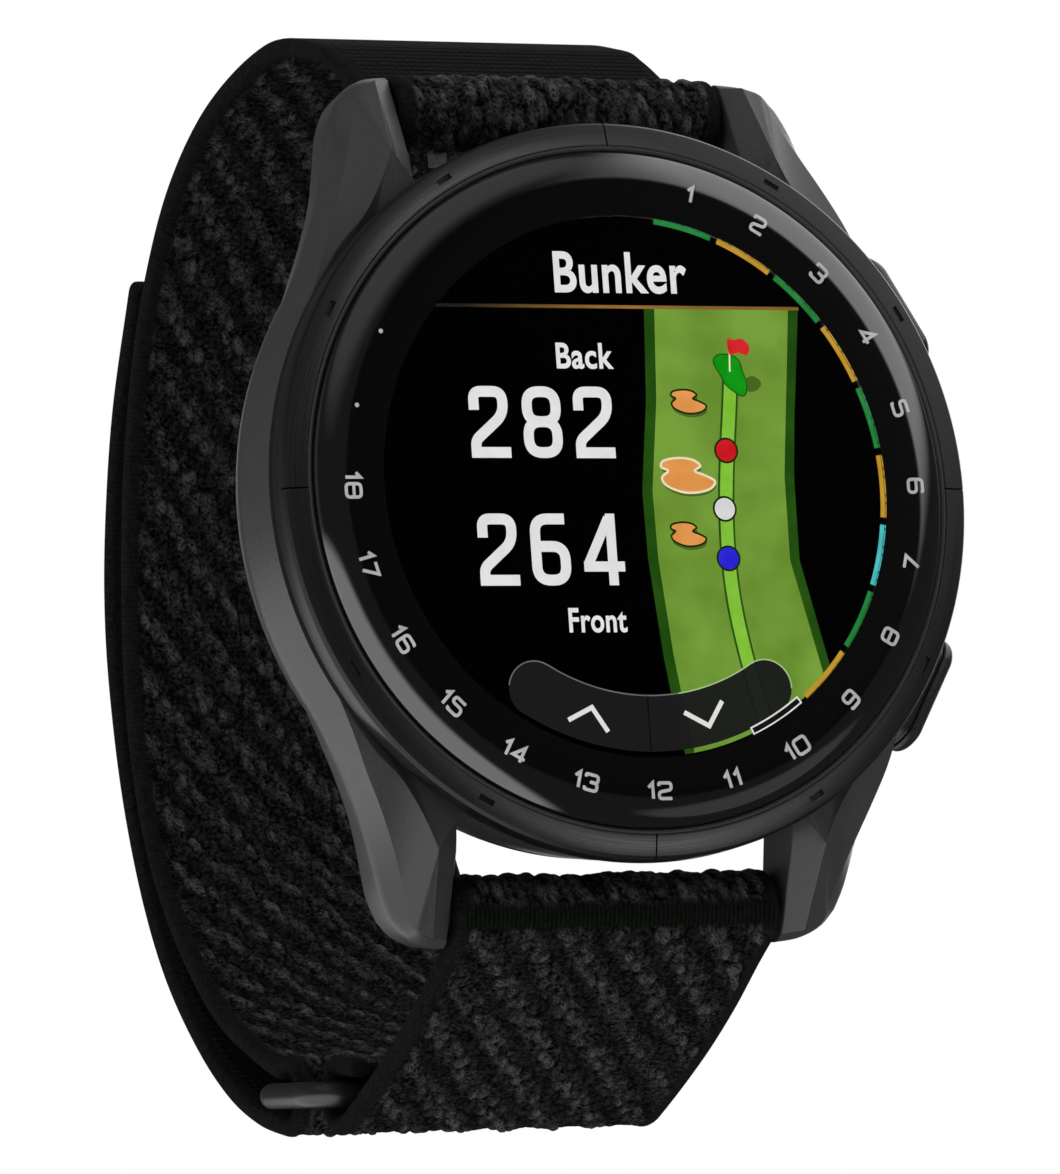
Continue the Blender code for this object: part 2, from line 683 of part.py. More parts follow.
def make_bar_coil(end, spot):
    """The coil spring inside a spring bar."""
    turns = 6
    steps = turns * 7
    rings = []
    for step in range(steps + 1):
        turn = 2 * math.pi * step / 7
        x = -4.4 + 5.4 * step / steps
        ring = []
        for radius, shift in ((0.32, 0.0), (0.42, 0.1), (0.52, 0.0), (0.42, -0.1)):
            ring.append((x + shift, spot[0] + radius * math.cos(turn),
                         spot[1] + radius * math.sin(turn)))
        rings.append(ring)
    finish_mesh(end + "_bar_spring", skin_rings(rings, closed_ends=True), steel())


# Strap

def around(centre, radius, start, end, steps):
    """(depth, height) points of an arc; degrees from rearwards towards 12 o'clock."""
    points = []
    for step in range(steps + 1):
        angle = math.radians(start + (end - start) * step / steps)
        points.append((centre[0] + radius * math.cos(angle), centre[1] + radius * math.sin(angle)))
    return points


def long_strap_path():
    """Middle of the long strap: over the top bar, under it, round the wrist, over the ring."""
    tail = [(9.5, 24.85), (9.0, 24.62)]
    wrap = around(TOP_BAR, WRAP_RADIUS, 68.0, 280.0, 12)
    run = smooth_line(
        [wrap[-1], (9.2, 21.8), (10.2, 23.3), (11.2, 24.75), (13.1, 26.1), (15.4, 27.6),
         (17.9, 28.8), (25.0, 30.4), (34.2, 29.05), (41.1, 25.75), (46.0, 21.0), (49.4, 15.6),
         (51.9, 9.0), (53.4, 1.0), (53.5, -6.0), (51.8, -12.8), (48.1, -18.8), (42.8, -24.0),
         (37.2, -27.1), (33.6, -28.62)], 3)
    fold = around(RING_REAR, FOLD_RADIUS, 95.0, 180.0, 6)
    return tail + wrap[:-1] + run[:-1] + fold


def flap_path():
    """Middle of the folded-back free end, from under the ring's rear bar up to its tip."""
    fold = around(RING_REAR, FOLD_RADIUS, 243.0, 278.0, 3)
    run = smooth_line(
        [fold[-1], (37.0, -30.9), (41.2, -28.9), (45.6, -25.6), (49.9, -21.0), (53.0, -15.6),
         (55.2, -9.0), (56.2, -2.0), (56.0, 3.5), (54.7, 9.0), (52.6, 14.4), (49.3, 19.9),
         (48.4, 21.3)], 3)
    return fold[:-1] + run


def short_strap_path():
    """Middle of the short strap: round the bottom bar, down the wrist, round the ring's front bar."""
    tail = [(10.8, -24.1), (9.7, -22.85)]
    wrap = around(BOTTOM_BAR, WRAP_RADIUS, 40.0, 245.0, 12)
    run = smooth_line(
        [wrap[-1], (8.9, -25.6), (12.3, -27.6), (16.3, -29.6), (20.6, -31.4), (24.2, -32.75)], 3)
    fold = around(RING_FRONT, FOLD_RADIUS, 282.0, 430.0, 9)
    end = smooth_line([fold[-1], (22.2, -29.75)], 2)
    return tail + wrap[:-1] + run[:-1] + fold[:-1] + end


def path_normals(path):
    """Unit vectors across a (depth, height) path, to its left."""
    normals = []
    for index in range(len(path)):
        before = path[max(index - 1, 0)]
        after = path[min(index + 1, len(path) - 1)]
        run = Vector((after[0] - before[0], after[1] - before[1])).normalized()
        normals.append(Vector((-run.y, run.x)))
    return normals


def hook_path():
    """Middle of the hook tape on the inner side of the flap, near its tip."""
    path = flap_path()
    line = []
    for point, normal in list(zip(path, path_normals(path)))[17:34]:
        shifted = Vector(point) + normal * (STRAP_THICK / 2 + HOOK_THICK / 2 + 0.1)
        line.append(tuple(shifted))
    return line


def make_strap():
    look = strap_fabric()
    long_strap = ribbon_plate("long_strap", long_strap_path(), STRAP_THICK, STRAP_HALF, look)
    cut(long_strap, block("top_lever_notch", (-8.4, 6.4, 18.5), (-4.4, 8.6, 22.4), None))
    set_origin(long_strap, (0.0, *TOP_BAR))
    flap = ribbon_plate("strap_flap", flap_path(), STRAP_THICK, STRAP_HALF, look)
    set_origin(flap, (0.0, *RING_REAR))
    hooks = ribbon_plate("hook_pad", hook_path(), HOOK_THICK, STRAP_HALF - 1.4, hook_tape())
    set_origin(hooks, (0.0, *RING_REAR))
    short_strap = ribbon_plate("short_strap", short_strap_path(), STRAP_THICK, STRAP_HALF, look)
    cut(short_strap, block("bottom_lever_notch", (-8.4, 7.7, -23.6), (-4.4, 11.5, -20.0), None))
    set_origin(short_strap, (0.0, *BOTTOM_BAR))
    make_ring()


def make_ring():
    """The metal ring: two bars across the strap, joined by a rounded arm at each side."""
    half_span = math.dist(RING_FRONT, RING_REAR) / 2
    middle = ((RING_FRONT[0] + RING_REAR[0]) / 2, (RING_FRONT[1] + RING_REAR[1]) / 2)
    run = Vector((RING_REAR[0] - RING_FRONT[0], RING_REAR[1] - RING_FRONT[1])).normalized()
    reach_x = RING_HALF - RING_WIRE
    rings = []
    for sign_x, sign_y, start in ((1, 1, 0), (-1, 1, 90), (-1, -1, 180), (1, -1, 270)):
        for step in range(5):
            angle = math.radians(start + 90.0 * step / 4)
            x = sign_x * (reach_x - RING_CORNER) + RING_CORNER * math.cos(angle)
            y = sign_y * (half_span - RING_CORNER) + RING_CORNER * math.sin(angle)
            out = Vector((math.cos(angle), math.sin(angle)))
            ring = []
            for part in range(10):
                turn = 2 * math.pi * part / 10
                flat = RING_WIRE * math.cos(turn)
                lift = RING_WIRE * math.sin(turn)
                along = y + out.y * flat
                ring.append((x + out.x * flat,
                             middle[0] + run.x * along - run.y * lift,
                             middle[1] + run.y * along + run.x * lift))
            rings.append(ring)
    ring = finish_mesh("strap_ring", skin_rings(rings, closed_ends=False), ring_metal())
    set_origin(ring, (0.0, *RING_FRONT))


def main():
    clear_scene()
    make_case()
    make_bezel()
    make_lens()
    make_display()
    make_electronics()
    make_buttons()
    make_back()
    make_spring_bar("top", TOP_BAR, (0.0, -1.0))
    make_spring_bar("bottom", BOTTOM_BAR, (0.85, 0.53))
    make_strap()


main()
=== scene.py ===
"""Looks of the golf GPS watch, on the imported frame.

Metres outside, millimetres inside: a point is (x, depth, height), where the depth is
measured rearwards from the plane of the bezel's top and the height towards 12 o'clock.
"""
import math

import bmesh
import bpy
import numpy as np
from mathutils import Matrix, Vector


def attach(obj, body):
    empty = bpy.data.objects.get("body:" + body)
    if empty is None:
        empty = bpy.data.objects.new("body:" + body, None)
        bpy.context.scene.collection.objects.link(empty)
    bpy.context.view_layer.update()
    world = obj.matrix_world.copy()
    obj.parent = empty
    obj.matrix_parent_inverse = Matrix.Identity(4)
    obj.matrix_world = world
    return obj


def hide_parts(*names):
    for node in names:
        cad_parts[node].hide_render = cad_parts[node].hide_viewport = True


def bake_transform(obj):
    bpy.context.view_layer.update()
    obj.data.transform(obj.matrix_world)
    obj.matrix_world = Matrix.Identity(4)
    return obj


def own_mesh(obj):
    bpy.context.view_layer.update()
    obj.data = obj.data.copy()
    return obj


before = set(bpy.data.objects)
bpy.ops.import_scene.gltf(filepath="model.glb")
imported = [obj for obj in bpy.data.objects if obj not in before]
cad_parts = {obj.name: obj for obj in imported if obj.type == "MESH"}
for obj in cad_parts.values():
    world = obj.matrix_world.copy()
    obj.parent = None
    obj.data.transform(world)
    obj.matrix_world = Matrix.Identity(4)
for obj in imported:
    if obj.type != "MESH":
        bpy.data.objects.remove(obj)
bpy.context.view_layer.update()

MM = 0.001
BACK_DEPTH = 10.5          # of the sensor window, which is the rearmost face of the case
LENS_RISE = 1.1            # of the glass above the bezel's top
LENS_RADIUS = 19.25
LENS_FLAT_RADIUS = 17.2
GLASS_RADIUS = 15.38       # of the clear window; the lens is backed in black outside it
BEZEL_OUTER = 20.95
CASE_FRONT_DEPTH = 2.2
CASE_FRONT_RADIUS = 20.92
CASE_WIDE_DEPTH = 5.3
CASE_WIDE_RADIUS = 21.5
CASE_BACK_FACE = 7.6
CASE_CREASE = 28.0         # degrees; an edge sharper than this stays sharp
BEZEL_CREASE = 22.0
BACK_CREASE = 30.0
SLEEVE_RADIUS = 19.2
BORE_RADIUS = 17.45
NECK_RADIUS = 20.5
LUG_INNER = 10.3           # from the middle to each lug's inner side
LUG_CHAMFER = 1.15         # of the dark bevel along each lug's inner side
FLANK_ANGLE = 33.0         # degrees from 3 o'clock to where a lug leaves the round flank
STRAP_HALF = 10.0
STRAP_THICK = 1.2
WRAP_RADIUS = 1.7          # of the strap's middle round a spring bar
FOLD_RADIUS = 1.85         # of the strap's middle round a bar of the ring
RING_WIRE = 0.75
RING_HALF = 11.9
RING_CORNER = 1.6
# Bars across the watch, as (depth, height).
TOP_BAR = (7.5, 22.9)
BOTTOM_BAR = (7.5, -22.9)
RING_FRONT = (24.8, -31.0)
RING_REAR = (32.6, -30.2)
BAR_HOLE_RADIUS = 0.55
BUTTON_ANGLE = 30.0        # degrees above and below 3 o'clock
BUTTON_DEPTH = 4.7
BUTTON_HALF_LONG = 3.6
BUTTON_HALF_WIDE = 1.4
BUTTON_TOP = 23.2
POCKET_GAP = 0.2           # between a button and the edge of its pocket
STEM_BORE_RADIUS = 0.75
SEAL_BORE_RADIUS = 1.15
SCREW_CIRCLE = 18.6
PIN_PITCH = 1.3
PORT_HEIGHT = -14.6
PORT_HALF_WIDE = 4.15
PORT_HALF_HIGH = 1.85


def place(point):
    """World position of a point in millimetres."""
    x, depth, height = point
    return Vector((x * MM, (depth - BACK_DEPTH) * MM, height * MM))


def world_points(points):
    """World positions of an array of (x, depth, height) rows in millimetres."""
    spots = np.array(points, dtype=float)
    spots[:, 1] -= BACK_DEPTH
    return spots * MM


# Materials

def new_material(name, colour, roughness, metallic=0.0, **sockets):
    """A material, its shader, and the short calls for its nodes."""
    made = bpy.data.materials.new(name)
    made.use_nodes = True
    shader = made.node_tree.nodes["Principled BSDF"]
    shader.inputs["Base Color"].default_value = (*colour, 1.0)
    shader.inputs["Roughness"].default_value = roughness
    shader.inputs["Metallic"].default_value = metallic
    for socket, value in sockets.items():
        shader.inputs[socket.replace("_", " ")].default_value = value
    return made, shader, Nodes(made)


class Nodes:
    """Short calls for wiring a material's nodes."""

    def __init__(self, made):
        self.tree = made.node_tree

    def add(self, kind, **settings):
        node = self.tree.nodes.new(kind)
        for key, value in settings.items():
            setattr(node, key, value)
        return node

    def feed(self, node, socket, value):
        if isinstance(value, bpy.types.NodeSocket):
            self.tree.links.new(value, node.inputs[socket])
        else:
            node.inputs[socket].default_value = value

    def coords(self):
        return self.add("ShaderNodeTexCoord").outputs["Object"]

    def grain(self, scale, low, high, to_low=0.0, to_high=1.0):
        """Noise over the piece, remapped."""
        return self.remap(self.noise(self.coords(), scale), low, high, to_low, to_high)

    def attribute(self, name, output="Fac"):
        return self.add("ShaderNodeAttribute", attribute_name=name).outputs[output]

    def noise(self, vector, scale, detail=3.0, roughness=0.5):
        node = self.add("ShaderNodeTexNoise")
        self.feed(node, "Vector", vector)
        self.feed(node, "Scale", scale)
        self.feed(node, "Detail", detail)
        self.feed(node, "Roughness", roughness)
        return node.outputs["Fac"]

    def math(self, operation, first, second=0.0):
        node = self.add("ShaderNodeMath", operation=operation)
        self.feed(node, 0, first)
        self.feed(node, 1, second)
        return node.outputs[0]

    def times(self, first, second):
        return self.math('MULTIPLY', first, second)

    def plus(self, first, second):
        return self.math('ADD', first, second)

    def remap(self, value, low, high, to_low=0.0, to_high=1.0):
        node = self.add("ShaderNodeMapRange")
        for socket, number in (("Value", value), ("From Min", low), ("From Max", high),
                               ("To Min", to_low), ("To Max", to_high)):
            self.feed(node, socket, number)
        return node.outputs[0]

    def mix(self, share, first, second):
        """A blend of two colours, each a socket or three numbers."""
        node = self.add("ShaderNodeMix", data_type='RGBA')
        self.feed(node, 0, share)
        for socket, colour in ((6, first), (7, second)):
            plain = isinstance(colour, tuple)
            self.feed(node, socket, (*colour, 1.0) if plain else colour)
        return node.outputs[2]

    def combine(self, x, y, z):
        node = self.add("ShaderNodeCombineXYZ")
        self.feed(node, 0, x)
        self.feed(node, 1, y)
        self.feed(node, 2, z)
        return node.outputs[0]

    def separate(self, vector):
        node = self.add("ShaderNodeSeparateXYZ")
        self.feed(node, 0, vector)
        return node.outputs

    def bump(self, height, strength, distance):
        node = self.add("ShaderNodeBump")
        self.feed(node, "Height", height)
        self.feed(node, "Strength", strength)
        self.feed(node, "Distance", distance)
        return node.outputs["Normal"]


def grained(name, dark, light, roughness, grain=4200.0, depth=0.00004, metallic=0.0, **sockets):
    """Moulded or painted material: two close tones, mottled, with fine grain in the surface."""
    made, shader, nodes = new_material(name, light, roughness, metallic, **sockets)
    spot = nodes.coords()
    broad = nodes.noise(spot, grain * 0.12, 4.0)
    fine = nodes.noise(spot, grain, 2.0)
    tone = nodes.plus(nodes.times(fine, 0.6), nodes.times(broad, 0.4))
    nodes.feed(shader, "Base Color", nodes.mix(nodes.remap(tone, 0.3, 0.7), dark, light))
    nodes.feed(shader, "Roughness", nodes.remap(fine, 0.3, 0.7, roughness - 0.05, roughness + 0.06))
    nodes.feed(shader, "Normal", nodes.bump(fine, 0.25, depth))
    return made


def brushed_round(name, dark, light, roughness, metallic, strength=0.25, **sockets):
    """Metal brushed in circles about the watch's axis."""
    made, shader, nodes = new_material(name, light, roughness, metallic, Anisotropic=0.75, **sockets)
    x, y, z = nodes.separate(nodes.coords())
    radius = nodes.math('SQRT', nodes.plus(nodes.times(x, x), nodes.times(z, z)))
    angle = nodes.math('ARCTAN2', z, x)
    lines = nodes.combine(nodes.times(radius, 26000.0), nodes.times(angle, 3.0),
                          nodes.times(y, 26000.0))
    fine = nodes.noise(lines, 1.0, 3.0, 0.7)
    nodes.feed(shader, "Base Color", nodes.mix(nodes.remap(fine, 0.3, 0.7), dark, light))
    nodes.feed(shader, "Roughness", nodes.remap(fine, 0.3, 0.7, roughness - 0.07, roughness + 0.08))
    nodes.feed(shader, "Normal", nodes.bump(fine, strength, 0.00001))
    tangent = nodes.add("ShaderNodeTangent", direction_type='RADIAL', axis='Y')
    nodes.feed(shader, "Tangent", tangent.outputs["Tangent"])
    return made


def lit(name, dark, light, grain=900.0):
    """Part of the lit display, or the lens border's print made to glow as painted light: two close tones
    of the same colour.
    """
    made, shader, nodes = new_material(name, (0.0, 0.0, 0.0), 0.35, Specular_IOR_Level=0.1,
                                       Emission_Strength=1.0)
    tone = nodes.grain(grain, 0.35, 0.65)
    nodes.feed(shader, "Emission Color", nodes.mix(tone, dark, light))
    return made


# Mesh helpers

def linked(name, data):
    """A new object in the scene."""
    item = bpy.data.objects.new(name, data)
    bpy.context.collection.objects.link(item)
    return item


def final_mesh(item):
    """The mesh that an object's modifiers or letters give."""
    graph = bpy.context.evaluated_depsgraph_get()
    return bpy.data.meshes.new_from_object(item.evaluated_get(graph))


def finished(name, mesh_data):
    """The mesh of a bmesh, which is freed."""
    mesh = bpy.data.meshes.new(name)
    mesh_data.to_mesh(mesh)
    mesh_data.free()
    return mesh


def adopt(name, mesh, look, body, replaced=(), smooth_angle=30.0, smooth=True):
    """Makes a piece of a mesh that is already in world metres."""
    if smooth:
        mesh.shade_smooth()
        if smooth_angle is not None:
            mesh.set_sharp_from_angle(angle=math.radians(smooth_angle))
    item = linked(name, mesh)
    if look is not None:
        mesh.materials.append(look)
    if body is not None:
        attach(item, body)
    if replaced:
        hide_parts(*replaced)
    return item


def paint(node, look):
    """Gives a CAD node a detailed material."""
    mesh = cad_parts[node].data
    mesh.materials.clear()
    mesh.materials.append(look)


def outward(mesh_data):
    """Cleans a new mesh and turns its faces outwards."""
    bmesh.ops.remove_doubles(mesh_data, verts=mesh_data.verts, dist=1e-7)
    bmesh.ops.dissolve_degenerate(mesh_data, edges=mesh_data.edges, dist=1e-8)
    bmesh.ops.recalc_face_normals(mesh_data, faces=mesh_data.faces)


def skin(name, rings, capped, look, body, replaced=(), smooth_angle=30.0):
    """A closed surface through rings of points: a capped tube, or a torus if capped is False."""
    mesh_data = bmesh.new()
    corners = [[mesh_data.verts.new(place(point)) for point in ring] for ring in rings]
    pairs = list(zip(corners[:-1], corners[1:]))
    if not capped:
        pairs.append((corners[-1], corners[0]))
    for ring_a, ring_b in pairs:
        for index in range(len(ring_a)):
            after = (index + 1) % len(ring_a)
            mesh_data.faces.new((ring_a[index], ring_a[after], ring_b[after], ring_b[index]))
    if capped:
        mesh_data.faces.new(corners[0])
        mesh_data.faces.new(corners[-1])
    outward(mesh_data)
    return adopt(name, finished(name, mesh_data), look, body, replaced, smooth_angle)


def turns(count):
    """Angles at even steps round a circle."""
    return [2 * math.pi * step / count for step in range(count)]


def turned(name, profile, look, body, segments=192, replaced=(), smooth_angle=30.0, centre=(0.0, 0.0)):
    """A body turned about the watch's axis from (radius, depth) points; solid if it starts at 0."""
    rings = []
    for radius, depth in profile:
        rings.append([(centre[0] + radius * math.cos(angle), depth, centre[1] + radius * math.sin(angle))
                      for angle in turns(segments)])
    return skin(name, rings, profile[0][0] == 0, look, body, replaced, smooth_angle)


def cutter(rings):
    """A closed shape to take out of a piece."""
    return skin("cutter", rings, True, None, None)


def carve(item, cutters, smooth_angle):
    """Takes the cutters' shapes out of a piece, for good."""
    for shape in cutters:
        change = item.modifiers.new("cut", 'BOOLEAN')
        change.operation = 'DIFFERENCE'
        change.solver = 'EXACT'
        change.object = shape
    bpy.context.view_layer.update()
    whole = item.data
    mesh = final_mesh(item)
    item.modifiers.clear()
    item.data = mesh
    bpy.data.meshes.remove(whole)
    for shape in cutters:
        bpy.data.objects.remove(shape)
    mesh.shade_smooth()
    mesh.set_sharp_from_angle(angle=math.radians(smooth_angle))


def rounded(profile, size, steps=4):
    """A profile of points with its corners rounded; the ends stay."""
    line = [Vector(point) for point in profile]
    result = [tuple(line[0])]
    for before, corner, after in zip(line[:-2], line[1:-1], line[2:]):
        into = before - corner
        out = after - corner
        reach = min(size, into.length * 0.45, out.length * 0.45)
        start = corner + into.normalized() * reach
        end = corner + out.normalized() * reach
        for step in range(steps + 1):
            t = step / steps
            result.append(tuple(start.lerp(corner, t).lerp(corner.lerp(end, t), t)))
    result.append(tuple(line[-1]))
    return result


def rounded_loop(profile, size, steps=4):
    """A closed profile with all its corners rounded."""
    wrapped = [profile[-1]] + list(profile) + [profile[0]]
    return rounded(wrapped, size, steps)[1:-1]


def spline(points, per_span):
    """A Catmull-Rom curve through all the points but the first and the last."""
    line = []
    for span in range(len(points) - 3):
        p0, p1, p2, p3 = (Vector(point) for point in points[span:span + 4])
        for step in range(per_span):
            t = step / per_span
            line.append(tuple(0.5 * (2 * p1 + (p2 - p0) * t + (2 * p0 - 5 * p1 + 4 * p2 - p3) * t ** 2
                                     + (3 * p1 - p0 - 3 * p2 + p3) * t ** 3)))
    return line


def smooth_line(points, per_span):
    """An open curve through the points."""
    return spline([points[0]] + points + [points[-1]], per_span) + [points[-1]]


def closed_curve(points, per_span=6):
    """A closed curve through the points."""
    return spline([points[-1]] + points + points[:2], per_span)


def resample(points, count):
    """count + 1 points at even distances along a line of points."""
    line = np.array(points, dtype=float)
    steps = np.linalg.norm(np.diff(line, axis=0), axis=1)
    along = np.concatenate([[0.0], np.cumsum(steps)])
    goals = np.linspace(0.0, along[-1], count + 1)
    columns = [np.interp(goals, along, line[:, axis]) for axis in range(line.shape[1])]
    return [tuple(row) for row in np.stack(columns, axis=1)]


# Case

# How many steps each stretch of an outline has, the same in every outline.
FLANK_STEPS = 30
EDGE_STEPS = 26
TIP_STEPS = 10
WALL_STEPS = 10
GAP_STEPS = 14


def arc_points(radius, depth_start, depth_end, start, end, steps):
    """Points round the watch's axis, in degrees from 3 o'clock, at a depth that changes evenly."""
    points = []
    for step in range(steps + 1):
        share = step / steps
        angle = math.radians(start + (end - start) * share)
        depth = depth_start + (depth_end - depth_start) * share
        points.append((radius * math.cos(angle), depth, radius * math.sin(angle)))
    return points


def wall_angle(radius):
    """Where a circle meets the lug's inner side, in degrees."""
    return math.degrees(math.acos(LUG_INNER / radius))


def round_quarter(radius, flank_depth, lug_depth):
    """One quarter of a round outline, in the same steps as an outline with a lug."""
    meet = wall_angle(radius)
    stops = (FLANK_ANGLE, FLANK_ANGLE + 0.62 * (meet - FLANK_ANGLE),
             FLANK_ANGLE + 0.82 * (meet - FLANK_ANGLE), meet)
    quarter = arc_points(radius, flank_depth, flank_depth, 0.0, stops[0], FLANK_STEPS)
    quarter += arc_points(radius, flank_depth, lug_depth, stops[0], stops[1], EDGE_STEPS)[1:]
    quarter += arc_points(radius, lug_depth, lug_depth, stops[1], stops[2], TIP_STEPS)[1:]
    quarter += arc_points(radius, lug_depth, lug_depth, stops[2], stops[3], WALL_STEPS)[1:]
    quarter += arc_points(radius, lug_depth, flank_depth, stops[3], 90.0, GAP_STEPS)[1:]
    return quarter


def lug_quarter(flank_radius, flank_depth, edge, tip, wall, gap_radius, gap_depth, inner=LUG_INNER):
    """One quarter of an outline with a lug; inner is how far the lug's inner side is from the middle."""
    quarter = arc_points(flank_radius, flank_depth, flank_depth, 0.0, FLANK_ANGLE, FLANK_STEPS)
    start = quarter[-1]
    quarter += resample(smooth_line([start] + edge, 8), EDGE_STEPS)[1:]
    quarter += resample(smooth_line([edge[-1]] + tip, 6), TIP_STEPS)[1:]
    meet = math.degrees(math.acos(inner / gap_radius))
    root = (inner, wall[-1], gap_radius * math.sin(math.radians(meet)))
    inner_line = [tip[-1]]
    if len(wall) > 1:
        inner_line.append((inner, wall[0], wall[1]))
    quarter += resample(inner_line + [root], WALL_STEPS)[1:]
    quarter += arc_points(gap_radius, wall[-1], gap_depth, meet, 90.0, GAP_STEPS)[1:]
    return quarter


def neck_quarter():
    """The crease where the lug's front runs into the round rim under the bezel."""
    shoulder = (11.9, 2.85, 19.8)
    quarter = arc_points(CASE_FRONT_RADIUS, CASE_FRONT_DEPTH, CASE_FRONT_DEPTH,
                         0.0, FLANK_ANGLE, FLANK_STEPS)
    crease = smooth_line([quarter[-1], (15.7, 2.25, 14.15), (14.0, 2.35, 15.95), (12.7, 2.65, 18.0),
                          shoulder], 8)
    quarter += resample(crease, EDGE_STEPS)[1:]
    quarter += [shoulder] * (TIP_STEPS + WALL_STEPS - 1)
    quarter += arc_points(NECK_RADIUS, 2.9, 2.4, wall_angle(NECK_RADIUS), 90.0, GAP_STEPS)
    return quarter


def full_outline(quarter):
    """The whole outline, from its quarter at the upper right."""
    left = [(-x, depth, z) for x, depth, z in reversed(quarter[:-1])]
    upper = quarter + left
    lower = [(x, depth, -z) for x, depth, z in reversed(upper[1:-1])]
    return upper + lower


def case_outlines():
    """Outlines from the inside of the front, over the lugs, to the bore from the back."""
    ridge_edge = [(16.75, 2.35, 13.4), (16.0, 2.65, 15.5), (15.1, 3.1, 17.5), (14.1, 3.95, 19.8),
                  (13.4, 4.75, 21.6), (12.95, 5.3, 23.0)]
    facet_inner = LUG_INNER + LUG_CHAMFER
    ridge = lug_quarter(
        CASE_FRONT_RADIUS, CASE_FRONT_DEPTH, ridge_edge,
        [(12.6, 5.4, 23.85), (12.1, 5.5, 24.15), (facet_inner, 5.55, 24.4)],
        (3.15, 19.6, 2.9), 20.45, 2.4, facet_inner)
    inner_ridge = lug_quarter(
        CASE_FRONT_RADIUS, CASE_FRONT_DEPTH, ridge_edge,
        [(12.6, 5.45, 23.9), (11.75, 5.8, 24.35), (LUG_INNER, 6.3, 24.5)],
        (4.0, 19.6, 3.7), 20.4, 2.6)
    widest = lug_quarter(
        CASE_WIDE_RADIUS, CASE_WIDE_DEPTH,
        [(17.2, 5.35, 13.3), (16.4, 5.4, 15.2), (15.55, 5.5, 17.5), (14.9, 5.6, 19.8),
         (14.35, 5.8, 21.8), (13.75, 6.1, 23.2)],
        [(12.9, 6.4, 24.1), (11.7, 6.7, 24.7), (LUG_INNER, 6.9, 24.9)],
        (5.3,), 20.3, 5.3)
    back_ridge = lug_quarter(
        21.0, 7.0,
        [(16.9, 7.1, 13.2), (16.1, 7.3, 15.1), (15.2, 7.7, 17.5), (14.6, 8.2, 19.8),
         (14.1, 8.7, 21.8), (13.5, 8.9, 23.1)],
        [(12.7, 9.0, 23.9), (11.6, 9.1, 24.4), (LUG_INNER, 9.1, 24.6)],
        (7.3,), 20.0, 7.0)
    quarters = [
        round_quarter(SLEEVE_RADIUS, 1.0, 1.0),
        round_quarter(SLEEVE_RADIUS, CASE_FRONT_DEPTH, CASE_FRONT_DEPTH + 0.2),
        round_quarter(20.4, CASE_FRONT_DEPTH, 2.9),
        neck_quarter(),
        ridge,
        inner_ridge,
        widest,
        back_ridge,
        round_quarter(19.9, CASE_BACK_FACE, CASE_BACK_FACE),
        round_quarter(BORE_RADIUS, CASE_BACK_FACE, CASE_BACK_FACE),
        round_quarter(BORE_RADIUS, 1.0, 1.0),
    ]
    return [np.array(full_outline(quarter)) for quarter in quarters]


def soften(outlines, sizes):
    """Rounds the ridge that each outline makes, by its size in millimetres."""
    count = len(outlines)
    result = []
    for index, (ring, size) in enumerate(zip(outlines, sizes)):
        if size == 0:
            result.append(ring)
            continue
        pulled = []
        for neighbour in (outlines[index - 1], outlines[(index + 1) % count]):
            away = neighbour - ring
            reach = np.linalg.norm(away, axis=1, keepdims=True)
            share = np.minimum(size / np.maximum(reach, 1e-6), 0.4)
            pulled.append(ring + away * share)
        for share in (0.0, 0.25, 0.5, 0.75, 1.0):
            first = pulled[0] * (1 - share) + ring * share
            second = ring * (1 - share) + pulled[1] * share
            result.append(first * (1 - share) + second * share)
    return result


def button_point(angle, reach, along, depth):
    """A point by a button: how far out from the watch's axis, and how far along the button."""
    turn = math.radians(angle)
    x = reach * math.cos(turn) - along * math.sin(turn)
    z = reach * math.sin(turn) + along * math.cos(turn)
    return (x, depth, z)


def pill_ring(angle, reach, half_long, half_wide, curve_radius=None, steps=48):
    """A ring of the button's stadium shape, flat or bent about the watch's axis."""
    ring = []
    straight = half_long - half_wide
    for turn in turns(steps):
        turn += math.pi / steps
        along = half_wide * math.cos(turn) + math.copysign(straight, math.cos(turn))
        depth = BUTTON_DEPTH + half_wide * math.sin(turn)
        out = reach
        if curve_radius is not None:
            out = reach - curve_radius + math.sqrt(curve_radius ** 2 - along ** 2)
        ring.append(button_point(angle, out, along, depth))
    return ring


def rod_cutter(x_low, x_high, radius, spot):
    rings = []
    for x in (x_low, x_high):
        rings.append([(x, spot[0] + radius * math.cos(angle), spot[1] + radius * math.sin(angle))
                      for angle in turns(32)])
    return cutter(rings)


def make_case():
    look = grained("case_polymer", (0.026, 0.026, 0.0268), (0.034, 0.034, 0.0352), 0.34,
                   Specular_IOR_Level=0.5)
    sizes = [0.0, 0.0, 0.12, 0.08, 0.1, 0.15, 0.45, 0.35, 0.12, 0.0, 0.0]
    outlines = soften(case_outlines(), sizes)
    case = skin("case", outlines, False, look, "case", ("mid_case",), CASE_CREASE)
    cutters = []
    for spot in (TOP_BAR, BOTTOM_BAR):
        for sign in (-1, 1):
            cutters.append(rod_cutter(sign * (LUG_INNER - 0.3), sign * (LUG_INNER + 1.2),
                                      BAR_HOLE_RADIUS, spot))
    stem = (STEM_BORE_RADIUS, STEM_BORE_RADIUS)
    seal = (SEAL_BORE_RADIUS, SEAL_BORE_RADIUS)
    pocket = (BUTTON_HALF_LONG + POCKET_GAP, BUTTON_HALF_WIDE + POCKET_GAP)
    for angle in (BUTTON_ANGLE, -BUTTON_ANGLE):
        cutters.append(cutter([pill_ring(angle, reach, *halves) for reach, halves in (
            (16.6, stem), (18.0, stem), (18.0, seal), (20.0, seal), (20.0, pocket), (25.0, pocket))]))
    carve(case, cutters, CASE_CREASE)


# Bezel

